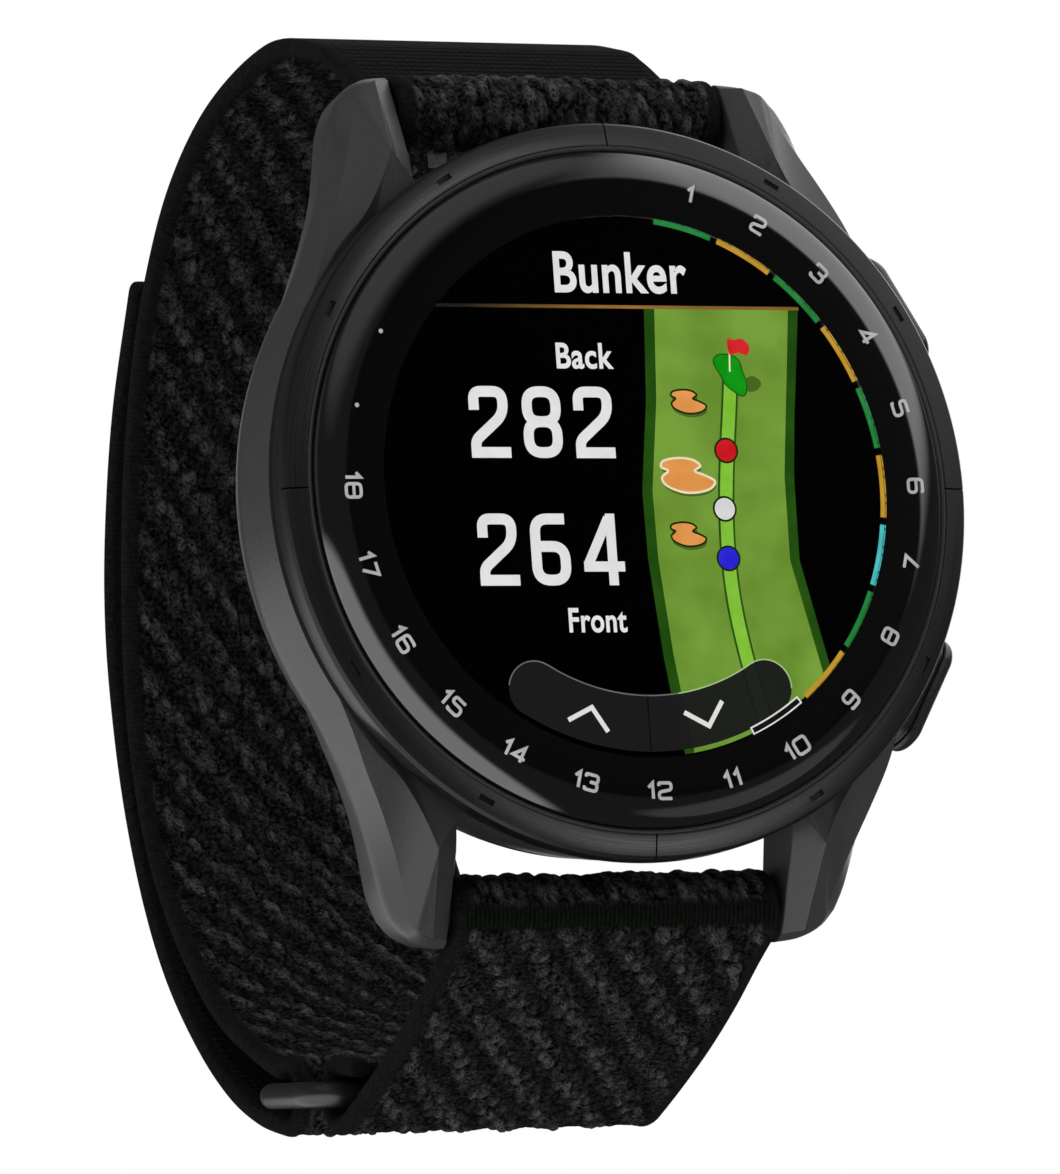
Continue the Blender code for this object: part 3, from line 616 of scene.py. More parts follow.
def make_bezel():
    look = brushed_round("bezel_metal", (0.028, 0.028, 0.029), (0.034, 0.034, 0.035), 0.29, 0.85, 0.03)
    profile = [(BEZEL_OUTER, 1.6), (BEZEL_OUTER, 0.25), (20.8, 0.05), (19.62, -0.235),
               (19.55, -0.2), (19.55, 1.6)]
    bezel = turned("bezel_ring", rounded_loop(profile, 0.05, 3), look, "case", 256, ("bezel",),
                   BEZEL_CREASE)
    satin = grained("bezel_lip_satin", (0.024, 0.024, 0.025), (0.031, 0.031, 0.032), 0.5)
    lip = [(19.54, 1.2), (19.54, -0.21), (19.46, -0.23), (19.29, -0.13), (19.29, 1.2)]
    turned("bezel_lip", rounded_loop(lip, 0.03, 2), satin, "case", 256, (), 40.0)
    cutters = []
    for hour in range(12):
        turn = math.radians(90.0 - 30.0 * hour)
        if hour % 3 == 0:
            inner, outer, half, floor = 19.55, 21.1, 0.045, 0.35
        else:
            inner, outer, half, floor = 20.05, 20.37, 0.48, 0.08
        rings = []
        for reach in (inner, outer):
            ring = []
            for along, depth in ((-half, -1.0), (half, -1.0), (half, floor), (-half, floor)):
                ring.append((reach * math.cos(turn) - along * math.sin(turn), depth,
                             reach * math.sin(turn) + along * math.cos(turn)))
            rings.append(ring)
        cutters.append(cutter(rings))
    carve(bezel, cutters, BEZEL_CREASE)
    black = grained("recess_black", (0.004, 0.004, 0.004), (0.008, 0.008, 0.008), 0.6)
    seal = [(20.35, 1.75), (20.35, 2.05), (19.35, 2.05), (19.35, 1.75)]
    turned("bezel_gap", rounded_loop(seal, 0.08, 2), black, "case", 128, ("recess_ring",))
    return bezel


# Lens and the print under it

def dome_profile(offset, inner_radius, outer_radius, steps):
    """Points of a surface that lies a distance inside the lens's outer face."""
    line = []
    for step in range(steps + 1):
        radius = inner_radius + (outer_radius - inner_radius) * math.sin(0.5 * math.pi * step / steps)
        width = LENS_RADIUS - LENS_FLAT_RADIUS - offset
        share = min(max((radius - LENS_FLAT_RADIUS) / width, 0.0), 1.0)
        depth = -LENS_RISE + offset + (LENS_RISE - 0.1 - offset) * (1 - math.sqrt(1 - share ** 2))
        line.append((radius, depth))
    return line


def make_lens():
    """Clear glass over the screen, and the black-backed border that curves down to the bezel."""
    glass, shader, nodes = new_material("lens_glass", (1.0, 1.0, 1.0), 0.0, Transmission_Weight=1.0,
                                        IOR=1.35)
    nodes.feed(shader, "Roughness", nodes.grain(90.0, 0.3, 0.8, 0.0, 0.002))
    top, under = -LENS_RISE, -LENS_RISE + 0.2
    turned("lens_window", [(0, top), (GLASS_RADIUS, top), (GLASS_RADIUS, under), (0, under)], glass,
           "case", 192, (), 40.0)
    black, shader, nodes = new_material("lens_border_black", (0.003, 0.003, 0.0035), 0.03, IOR=2.0)
    tone = nodes.noise(nodes.coords(), 2500.0)
    nodes.feed(shader, "Base Color", nodes.mix(tone, (0.0022, 0.0022, 0.0025), (0.0034, 0.0034, 0.0037)))
    nodes.feed(shader, "Roughness", nodes.grain(120.0, 0.3, 0.7, 0.02, 0.05))
    profile = [(GLASS_RADIUS, top)] + dome_profile(0.0, LENS_FLAT_RADIUS, LENS_RADIUS, 20)
    profile += [(LENS_RADIUS, 0.5), (18.2, 0.5), (17.5, -0.4), (GLASS_RADIUS, -0.5)]
    turned("lens_border", profile, black, "case", 256, ("lens",), 40.0)


# Display

SCREEN_DEPTH = -0.76       # the lowest layer of the picture
LAYER = 0.01
NUMERAL_RADIUS = 17.25
ARC_RADIUS = 15.24
ARC_HALF = 6.7             # degrees, half of one hole's arc
HOLE_ANGLE = 15.0          # degrees from one hole number to the next
MAP_RADIUS = 15.28
MAP_EDGE = 1.5             # where the bar's rim passes from the black to the map
PILL_RADIUS = 13.46
PILL_HALF = 1.6
PILL_REACH = 31.6          # degrees from the bottom to the middle of each round end


# Each colour's two tones and, where it is not the usual one, the scale of its mottle.
DISPLAY_COLOURS = {
    "display_white": ((0.74, 0.74, 0.74), (0.80, 0.80, 0.80)),
    # The lens border's printed numbers glow; this is painted light, since print does not shine on its
    # own.
    "border_print_glow": ((0.36, 0.36, 0.36), (0.46, 0.46, 0.46)),
    "arc_green": ((0.012, 0.2, 0.035), (0.02, 0.25, 0.05)),
    "arc_gold": ((0.5, 0.28, 0.02), (0.58, 0.33, 0.035)),
    "arc_cyan": ((0.06, 0.45, 0.46), (0.08, 0.55, 0.56)),
    "arc_white": ((0.7, 0.72, 0.7), (0.8, 0.82, 0.8)),
    "mark_black": ((0.004, 0.004, 0.004), (0.006, 0.006, 0.006)),
    "map_grass": ((0.13, 0.26, 0.026), (0.19, 0.36, 0.045), 260.0),
    "map_edge": ((0.010, 0.06, 0.002), (0.018, 0.085, 0.004), 500.0),
    "map_ink": ((0.006, 0.012, 0.002), (0.01, 0.02, 0.004)),
    "map_route_ink": ((0.012, 0.07, 0.004), (0.02, 0.1, 0.008)),
    "map_route_green": ((0.2, 0.5, 0.03), (0.24, 0.56, 0.05)),
    "map_sand": ((0.72, 0.28, 0.06), (0.82, 0.34, 0.09), 700.0),
    "map_cream": ((0.85, 0.72, 0.5), (0.9, 0.78, 0.58)),
    "map_green_fill": ((0.002, 0.26, 0.003), (0.004, 0.34, 0.006)),
    "map_green_ink": ((0.003, 0.09, 0.003), (0.005, 0.12, 0.004)),
    "map_red": ((0.6, 0.012, 0.018), (0.72, 0.02, 0.028)),
    "marker_red": ((0.55, 0.006, 0.012), (0.66, 0.01, 0.018)),
    "marker_white": ((0.66, 0.66, 0.66), (0.74, 0.74, 0.74)),
    "marker_blue": ((0.02, 0.015, 0.62), (0.03, 0.025, 0.72)),
    "rim_grey": ((0.12, 0.12, 0.12), (0.16, 0.16, 0.16)),
    "rim_green": ((0.36, 0.5, 0.22), (0.42, 0.58, 0.27)),
    "divider_black": ((0.0, 0.0, 0.0), (0.002, 0.002, 0.002)),
}


INKS = {}


def ink(name):
    """The material of one of the display's colours, or of the border print's painted glow, made when it
    is first used.
    """
    if name not in INKS:
        INKS[name] = lit(name, *DISPLAY_COLOURS[name])
    return INKS[name]


def plate(name, shapes, look, layer, depth=None):
    """A thin print of flat shapes, each a loop of (x, height) corners, on the display."""
    if depth is None:
        depth = SCREEN_DEPTH - layer * LAYER
    mesh_data = bmesh.new()
    for shape in shapes:
        mesh_data.faces.new([mesh_data.verts.new(place((x, depth, z))) for x, z in shape])
    return printed(name, mesh_data, look)


def printed(name, mesh_data, look):
    """Gives flat faces the thickness of a print."""
    bmesh.ops.remove_doubles(mesh_data, verts=mesh_data.verts, dist=1e-8)
    result = bmesh.ops.extrude_face_region(mesh_data, geom=mesh_data.faces[:], use_keep_orig=True)
    moved = [item for item in result["geom"] if isinstance(item, bmesh.types.BMVert)]
    bmesh.ops.translate(mesh_data, verts=moved, vec=(0.0, LAYER * 0.8 * MM, 0.0))
    bmesh.ops.recalc_face_normals(mesh_data, faces=mesh_data.faces)
    return adopt(name, finished(name, mesh_data), look, "case", smooth=False)


def stroke(line, width, closed=False):
    """The flat quads of a line of (x, height) points drawn with a square-ended pen."""
    points = np.array(line, dtype=float)
    ahead = np.roll(points, -1, axis=0) - points
    if not closed:
        ahead[-1] = ahead[-2]
    ahead /= np.linalg.norm(ahead, axis=1, keepdims=True)
    behind = np.roll(ahead, 1, axis=0)
    if not closed:
        behind[0] = ahead[0]
    across = np.stack([-ahead[:, 1] - behind[:, 1], ahead[:, 0] + behind[:, 0]], axis=1)
    across /= 1.0 + np.sum(ahead * behind, axis=1, keepdims=True)
    left = points + across * width * 0.5
    right = points - across * width * 0.5
    last = len(points) if closed else len(points) - 1
    quads = []
    for index in range(last):
        after = (index + 1) % len(points)
        quads.append([tuple(left[index]), tuple(left[after]), tuple(right[after]), tuple(right[index])])
    return quads


def moved_shapes(shapes, spot, scale=1.0, turn=0.0):
    """Shapes scaled, then turned clockwise by degrees, then moved."""
    cos, sin = math.cos(math.radians(turn)), math.sin(math.radians(turn))
    result = []
    for shape in shapes:
        result.append([(spot[0] + scale * (x * cos + z * sin), spot[1] + scale * (z * cos - x * sin))
                       for x, z in shape])
    return result


def arc_line(radius, start, end, steps=24):
    """Points on a circle about the display's middle, in degrees clockwise from 12 o'clock."""
    line = []
    for step in range(steps + 1):
        turn = math.radians(start + (end - start) * step / steps)
        line.append((radius * math.sin(turn), radius * math.cos(turn)))
    return line


def disc(spot, radius, steps=48):
    return [(spot[0] + radius * math.cos(turn), spot[1] + radius * math.sin(turn))
            for turn in turns(steps)]


def big_digit(sign):
    """Strokes of one of the large numbers' digits, 2.4 mm wide and 4.05 mm high."""
    left, right, low, middle, top, bend = 0.33, 2.08, 0.3, 2.05, 3.75, 0.78
    pen = 0.61
    if sign == "2":
        line = [(left, 2.7), (left, top), (right, top), (right, 2.45), (left, 0.98), (left, low)]
        return stroke(rounded(line, bend, 8) + [(2.42, low)], pen)
    if sign == "8":
        upper = rounded_loop([(left, middle), (left, top), (right, top), (right, middle)], bend, 8)
        lower = rounded_loop([(left, low), (left, middle), (right, middle), (right, low)], bend, 8)
        return stroke(upper, pen, True) + stroke(lower, pen, True)
    if sign == "6":
        line = [(2.15, top), (left, top), (left, low), (right, low), (right, 2.2), (left, 2.2)]
        return stroke(rounded(line, bend, 8), pen)
    return (stroke([(1.76, 0.0), (1.76, 4.05)], 0.57) + stroke([(1.64, 3.8), (0.28, 1.2)], 0.57)
            + stroke([(0.0, 1.06), (2.49, 1.06)], 0.57))


SMALL_DIGITS = {
    "0": ([(0, 0), (0, 1), (0.92, 1), (0.92, 0)], True),
    "1": ([(0, 0.72), (0.3, 1), (0.3, 0)], False),
    "2": ([(0, 0.8), (0, 1), (0.85, 1), (0.85, 0.56), (0, 0.42), (0, 0), (0.88, 0)], False),
    "3": ([(0, 0.8), (0, 1), (0.85, 1), (0.85, 0.52), (0.3, 0.52), (0.85, 0.5), (0.85, 0), (0, 0),
           (0, 0.2)], False),
    "4": ([(0.62, 0), (0.62, 1), (0, 0.27), (0.88, 0.27)], False),
    "5": ([(0.82, 1), (0, 1), (0, 0.58), (0.85, 0.58), (0.85, 0), (0, 0), (0, 0.16)], False),
    "6": ([(0.8, 0.86), (0.8, 1), (0, 1), (0, 0), (0.85, 0), (0.85, 0.56), (0, 0.56)], False),
    "7": ([(0, 1), (0.8, 1), (0.28, 0)], False),
    "8": ([(0, 0), (0, 1), (0.85, 1), (0.85, 0)], True),
    "9": ([(0.05, 0.14), (0.05, 0), (0.85, 0), (0.85, 1), (0, 1), (0, 0.44), (0.85, 0.44)], False),
}
SHARP_DIGITS = "147"
DIGIT_GAP = 0.42


def small_number(text):
    """Strokes of a hole number, centred on its middle, one unit high between its strokes."""
    shapes = []
    left = 0.0
    for sign in text:
        line, closed = SMALL_DIGITS[sign]
        if sign not in SHARP_DIGITS:
            line = rounded_loop(line, 0.26, 5) if closed else rounded(line, 0.26, 5)
        shapes += moved_shapes(stroke(line, 0.21, closed), (left, 0.0))
        if sign == "8":
            shapes += moved_shapes(stroke([(0.0, 0.52), (0.85, 0.52)], 0.2), (left, 0.0))
        left += max(point[0] for point in line) + DIGIT_GAP
    return moved_shapes(shapes, (-(left - DIGIT_GAP) / 2, -0.5))


def word(name, text, low_left, high_right):
    """A plain word in bold letters that fill a box of (x, height) corners."""
    letters = bpy.data.curves.new(name, 'FONT')
    letters.body = text
    letters.offset = 0.022
    letters.space_character = 1.06
    letters.resolution_u = 6
    item = linked(name, letters)
    bpy.context.view_layer.update()
    mesh_data = bmesh.new()
    mesh_data.from_mesh(final_mesh(item))
    bpy.data.objects.remove(item)
    spots = np.array([vert.co for vert in mesh_data.verts])
    low, high = spots.min(axis=0), spots.max(axis=0)
    for vert in mesh_data.verts:
        x, z = (low_left[axis] + (vert.co[axis] - low[axis]) / (high[axis] - low[axis])
                * (high_right[axis] - low_left[axis]) for axis in (0, 1))
        vert.co = place((x, SCREEN_DEPTH - 9 * LAYER, z))
    return printed(name, mesh_data, ink("display_white"))


def make_numbers():
    shapes = []
    for text, height, lefts in (("282", 1.57, (-9.94, -6.72, -3.58)),
                                ("264", -5.63, (-9.94, -6.76, -3.57))):
        for sign, left in zip(text, lefts):
            shapes += moved_shapes(big_digit(sign), (left, height))
    for arrow in ([(-5.2, -13.2), (-3.72, -12.5), (-2.83, -13.88)],
                  [(1.9, -12.83), (3.38, -13.6), (4.28, -12.2)]):
        shapes += stroke(arrow, 0.27)
    plate("display_numbers", shapes, ink("display_white"), 10)
    word("display_title", "Bunker", (-4.17, 10.95), (4.0, 13.33))
    word("display_label_upper", "Back", (-4.38, 6.63), (-0.88, 8.12))
    word("display_label_lower", "Front", (-4.74, -8.3), (-1.2, -6.9))


def make_hole_ring():
    """The 18 hole numbers on the lens border, the arcs beside them and the mark at the hole in play."""
    shapes = []
    for hole in range(1, 19):
        angle = HOLE_ANGLE * hole
        spot = arc_line(NUMERAL_RADIUS, angle, angle, 1)[0]
        facing = angle if hole <= 6 else angle + 180.0
        shapes += moved_shapes(small_number(str(hole)), spot, 0.88, facing)
    for angle in (-75.0, -60.0):
        shapes.append(disc(arc_line(17.3, angle, angle, 1)[0], 0.13, 16))
    # The hole numbers are print on the lens border; their glow is painted light.
    plate("border_numerals", shapes, ink("border_print_glow"), 0, -LENS_RISE - 0.004)
    for colour, holes in (("green", (1, 3, 5, 8)), ("gold", (2, 4, 6, 9)), ("cyan", (7,))):
        shapes = []
        for hole in holes:
            angle = HOLE_ANGLE * hole
            shapes += stroke(arc_line(ARC_RADIUS, angle - ARC_HALF, angle + ARC_HALF), 0.26)
        plate("arc_%ss" % colour, shapes, ink("arc_" + colour), 8)
    box = arc_line(14.97, 143.4, 156.6) + arc_line(15.36, 156.6, 143.4)
    plate("hole_mark", stroke(box, 0.09, True), ink("arc_white"), 11)
    plate("hole_mark_fill", stroke(arc_line(15.165, 143.5, 156.5), 0.36), ink("mark_black"), 10)


def make_fairway():
    left = [(1.27, 10.15), (0.99, 4.9), (0.35, -0.3), (0.42, -4.2), (0.93, -9.6), (1.22, -11.7),
            (1.82, -15.15)]
    right = [(9.77, -4.2), (9.82, 0.6), (10.12, 4.0), (10.46, 6.9), (10.84, 10.28)]
    bottom = arc_line(MAP_RADIUS, 173.2, 132.8, 16)
    plate("map_border", [left + bottom + right], ink("map_edge"), 0)
    inner_left = [(1.9, 10.15), (1.62, 4.9), (0.98, -0.3), (1.04, -4.2), (1.55, -9.6), (1.86, -11.7),
                  (2.4, -14.9)]
    inner_right = [(9.18, -4.2), (9.22, 0.6), (9.57, 4.0), (9.88, 6.9), (10.22, 10.28)]
    inner_bottom = arc_line(MAP_RADIUS, 171.2, 135.2, 16)
    plate("map_field", [inner_left + inner_bottom + inner_right], ink("map_grass"), 1)
    route = smooth_line([(6.3, 6.2), (6.06, 4.2), (5.72, 1.6), (5.45, -1.3), (5.38, -4.1), (5.55, -6.8),
                         (6.05, -9.8), (6.75, -12.7), (6.95, -13.6)], 6)
    plate("map_route_edge", stroke(route, 1.02), ink("map_route_ink"), 2)
    plate("map_route", stroke(route, 0.76), ink("map_route_green"), 3)


def make_bunkers():
    """Three sand traps of one shape; the middle one is larger and marked with a cream rim."""
    bunker = closed_curve([(-0.36, 0.13), (-0.48, 0.24), (-0.43, 0.42), (-0.16, 0.5), (0.10, 0.45),
                           (0.24, 0.28), (0.13, 0.13), (0.31, 0.01), (0.49, -0.16), (0.40, -0.37),
                           (0.16, -0.48), (-0.12, -0.47), (-0.40, -0.29), (-0.48, -0.06)])
    green_shade = [(7.2, 6.1), (7.75, 6.3), (8.2, 5.9), (7.8, 5.45), (7.2, 5.5)]
    fills, rims, shades = [], [], []
    for spot, wide, high, pen in (((3.58, 4.81), 2.2, 1.38, 0.11), ((3.21, 0.6), 3.35, 2.0, 0.13),
                                  ((2.98, -2.75), 2.2, 1.38, 0.11)):
        outline = [(spot[0] + x * wide, spot[1] + z * high) for x, z in bunker]
        fills.append(outline)
        rims.append(stroke(outline, pen, True))
        shades.append([(x + 0.06, z - 0.2) for x, z in outline])
    plate("map_shades", shades + [closed_curve(green_shade)], veil("map_shade", 0.32, 600.0), 2)
    plate("map_bunkers", fills, ink("map_sand"), 5)
    plate("map_bunker_rims", rims[0] + rims[2], ink("map_ink"), 6)
    plate("map_bunker_marked", rims[1], ink("map_cream"), 6)


def make_green():
    """The green with its flag, and the three tee markers on the route to it."""
    green = closed_curve([(5.3, 7.05), (5.49, 7.43), (5.91, 7.55), (6.57, 7.44), (6.91, 7.11),
                          (7.07, 6.54), (7.27, 5.88), (7.18, 5.31), (6.91, 5.16), (6.46, 5.4),
                          (5.97, 5.8), (5.62, 6.44)])
    plate("map_green", [green], ink("map_green_fill"), 5)
    plate("map_green_rim", stroke(green, 0.08, True), ink("map_green_ink"), 6)
    plate("map_pole", stroke([(6.33, 7.6), (6.27, 6.55)], 0.09), ink("map_cream"), 7)
    flag = closed_curve([(6.24, 8.42), (6.65, 8.36), (7.12, 8.44), (7.4, 8.24), (7.61, 7.93), (7.4, 7.5),
                         (6.85, 7.63), (6.32, 7.53)], 3)
    plate("map_flag", [flag], ink("map_red"), 8)
    markers = {"red": (5.68, 2.03), "white": (5.33, -1.3), "blue": (5.34, -4.12)}
    plate("map_marker_rims", [disc(spot, 0.74) for spot in markers.values()], ink("map_ink"), 7)
    for colour, spot in markers.items():
        plate("map_marker_" + colour, [disc(spot, 0.62)], ink("marker_" + colour), 8)


def veil(name, alpha, grain, glow=0.0):
    """A see-through dark layer on the display, with a little light of its own."""
    made, shader, nodes = new_material(name, (0.0, 0.0, 0.0), 0.5, Alpha=alpha, Specular_IOR_Level=0.0,
                                       Emission_Strength=glow)
    nodes.feed(shader, "Roughness", nodes.grain(grain, 0.3, 0.7, 0.4, 0.6))
    return made


def make_pill():
    """The curved two-button bar at the bottom of the screen."""
    low, high = 180.0 - PILL_REACH, 180.0 + PILL_REACH
    upper = arc_line(PILL_RADIUS - PILL_HALF, high, low, 40)
    lower = arc_line(PILL_RADIUS + PILL_HALF - 0.04, low, high, 40)
    ends = []
    for angle, start in ((low, -180.0), (high, 0.0)):
        middle = arc_line(PILL_RADIUS, angle, angle, 1)[0]
        cap = []
        for step in range(1, 16):
            turn = math.radians(angle + start + 180.0 * step / 16)
            cap.append((middle[0] + PILL_HALF * math.sin(turn), middle[1] + PILL_HALF * math.cos(turn)))
        ends.append(cap)
    plate("nav_pill", [upper + ends[0] + lower + ends[1]], veil("pill_glass", 0.89, 400.0, 0.0113), 7)
    rim = ends[1][5:] + upper + ends[0][:11]
    parting = min(range(len(rim)), key=lambda index: abs(rim[index][0] - MAP_EDGE))
    plate("nav_rim_left", stroke(rim[:parting + 1], 0.075), ink("rim_grey"), 9)
    plate("nav_rim_right", stroke(rim[parting:], 0.075), ink("rim_green"), 9)
    plate("nav_divider", stroke([(-0.28, -11.95), (-0.3, -14.95)], 0.07), ink("divider_black"), 9)


def make_display():
    black = grained("screen_black", (0.0003, 0.0003, 0.0003), (0.0008, 0.0008, 0.0008), 0.35,
                    Specular_IOR_Level=0.0)
    front, rim = SCREEN_DEPTH + 0.005, GLASS_RADIUS - 0.01
    turned("screen_base", [(0, front), (rim, front), (rim, -0.45), (0, -0.45)], black, "case", 128)
    paint("display_panel", black)
    gold, shader, nodes = new_material("line_gold", (0.0, 0.0, 0.0), 0.5, Emission_Strength=1.0)
    x = nodes.separate(nodes.coords())[0]
    share = nodes.times(nodes.remap(x, -0.0095, -0.0005), nodes.remap(x, 0.001, 0.005, 1.0, 0.7))
    warm = nodes.mix(nodes.grain(700.0, 0.3, 0.7),
                     (0.27, 0.125, 0.014), (0.32, 0.155, 0.022))
    nodes.feed(shader, "Emission Color", nodes.mix(share, (0.004, 0.002, 0.0), warm))
    plate("title_line", stroke([(-11.8, 10.19), (10.84, 10.19)], 0.19), gold, 9)
    make_fairway()
    make_bunkers()
    make_green()
    make_pill()
    make_numbers()
    make_hole_ring()



# Straps

FABRIC_STEP = 0.2          # along the strap and across its coarse face
FACE_HALF = 9.55           # where a face turns into the rolled edge
FINE_STEPS = 36
EDGE_STEPS_ROUND = 8
END_TAPER = (0.45, 0.8, 0.95)  # how far the last three samples keep the strap's thickness
BAND_PITCH = 2.9           # of the diagonal bands, across the strap
BAND_SLOPE = 1.4           # how far a band runs along the strap for each step across it
TUFT_ACROSS = 0.6
TUFT_ALONG = 1.0
FLAP_START = 243.0         # degrees round the ring's rear bar, where the free end starts
LONG_END = 180.0


def around(centre, radius, start, end, steps):
    """(depth, height) points of an arc; degrees from rearwards towards 12 o'clock."""
    points = []
    for step in range(steps + 1):
        angle = math.radians(start + (end - start) * step / steps)
        points.append((centre[0] + radius * math.cos(angle), centre[1] + radius * math.sin(angle)))
    return points


def long_route():
    """Middle of the long strap from its sewn tail to the ring, and on to the free end's tip."""
    wrap = around(TOP_BAR, WRAP_RADIUS, 68.0, 280.0, 40)
    run = smooth_line(
        [wrap[-1], (9.2, 21.8), (10.2, 23.3), (11.2, 24.75), (13.1, 26.1), (15.4, 27.6),
         (17.9, 28.8), (25.0, 30.4), (34.2, 29.05), (41.1, 25.75), (46.0, 21.0), (49.4, 15.6),
         (51.9, 9.0), (53.4, 1.0), (53.5, -6.0), (51.8, -12.8), (48.1, -18.8), (42.8, -24.0),
         (37.2, -27.1), (33.6, -28.62)], 12)
    fold = around(RING_REAR, FOLD_RADIUS, 95.0, 278.0, 36)
    end = smooth_line(
        [fold[-1], (37.0, -30.9), (41.2, -28.9), (45.6, -25.6), (49.9, -21.0), (53.0, -15.6),
         (55.2, -9.0), (56.2, -2.0), (56.0, 3.5), (54.7, 9.0), (52.6, 14.4), (49.3, 19.9),
         (48.4, 21.3)], 12)
    return [(9.5, 24.85), (9.0, 24.62)] + wrap[:-1] + run[:-1] + fold[:-1] + end


def short_route():
    """Middle of the short strap: round the bottom bar, down the wrist, round the ring's front bar."""
    wrap = around(BOTTOM_BAR, WRAP_RADIUS, 40.0, 245.0, 40)
    run = smooth_line(
        [wrap[-1], (8.9, -25.6), (12.3, -27.6), (16.3, -29.6), (20.6, -31.4), (24.2, -32.75)], 12)
    fold = around(RING_FRONT, FOLD_RADIUS, 282.0, 430.0, 30)
    end = smooth_line([fold[-1], (22.2, -29.75)], 4)
    return [(10.8, -24.1), (9.7, -22.85)] + wrap[:-1] + run[:-1] + fold[:-1] + end


def even_route(points):
    """Even samples of a route: their places, the directions to the coarse face, and the lengths."""
    rough = np.array(points)
    length = np.sum(np.linalg.norm(np.diff(rough, axis=0), axis=1))
    line = np.array(resample(points, int(round(length / FABRIC_STEP))))
    weights = (1 / 9, 2 / 9, 3 / 9, 2 / 9, 1 / 9)
    padded = np.concatenate([line[:1], line[:1], line, line[-1:], line[-1:]])
    soft = sum(weight * padded[index:index + len(line)] for index, weight in enumerate(weights))
    soft[:3] = line[:3]
    soft[-3:] = line[-3:]
    ahead = np.gradient(soft, axis=0)
    ahead /= np.linalg.norm(ahead, axis=1, keepdims=True)
    outward_side = np.stack([ahead[:, 1], -ahead[:, 0]], axis=1)
    return soft, outward_side, np.arange(len(soft)) * FABRIC_STEP


def scatter(row, column, seed):
    """A repeatable random share for each cell of a grid."""
    wave = np.sin(row * 127.1 + column * 311.7 + seed * 74.7) * 43758.5453
    return wave - np.floor(wave)


def tufts(across, along, size, banded, seed):
    """Heights (0 to 1) and tones (0 to 1) of woven tufts, in diagonal bands where banded is 1."""
    height = np.zeros(across.shape)
    tone = np.full(across.shape, 0.3)
    wide, tall = size * TUFT_ACROSS, size * TUFT_ALONG
    row_here = np.floor(along / tall)
    for row_step in (-1, 0, 1):
        row = row_here + row_step
        shift = row * tall / BAND_SLOPE
        column_here = np.floor((across - shift) / wide)
        for column_step in (-1, 0, 1):
            column = column_here + column_step
            middle_x = shift + (column + 0.5 + 0.7 * (scatter(row, column, seed) - 0.5)) * wide
            middle_y = (row + 0.5 + 0.8 * (scatter(row, column, seed + 1) - 0.5)) * tall
            band = 0.5 + 0.5 * np.cos(2 * np.pi * (middle_x - middle_y / BAND_SLOPE) / BAND_PITCH)
            strength = 0.35 + 0.65 * scatter(row, column, seed + 2)
            strength *= 1 - banded * 0.72 * (1 - band)
            lean = 0.25 + 0.7 * (scatter(row, column, seed + 3) - 0.5)
            dx = (across - middle_x) / wide
            dy = (along - middle_y) / tall
            near = (dx - lean * dy) ** 2 / 0.32 + dy ** 2 / 0.36
            dome = strength * np.sqrt(np.clip(1 - near, 0, 1))
            higher = dome > height
            height = np.where(higher, dome, height)
            tone = np.where(higher, strength * (0.55 + 0.45 * scatter(row, column, seed + 4)), tone)
    return height, tone


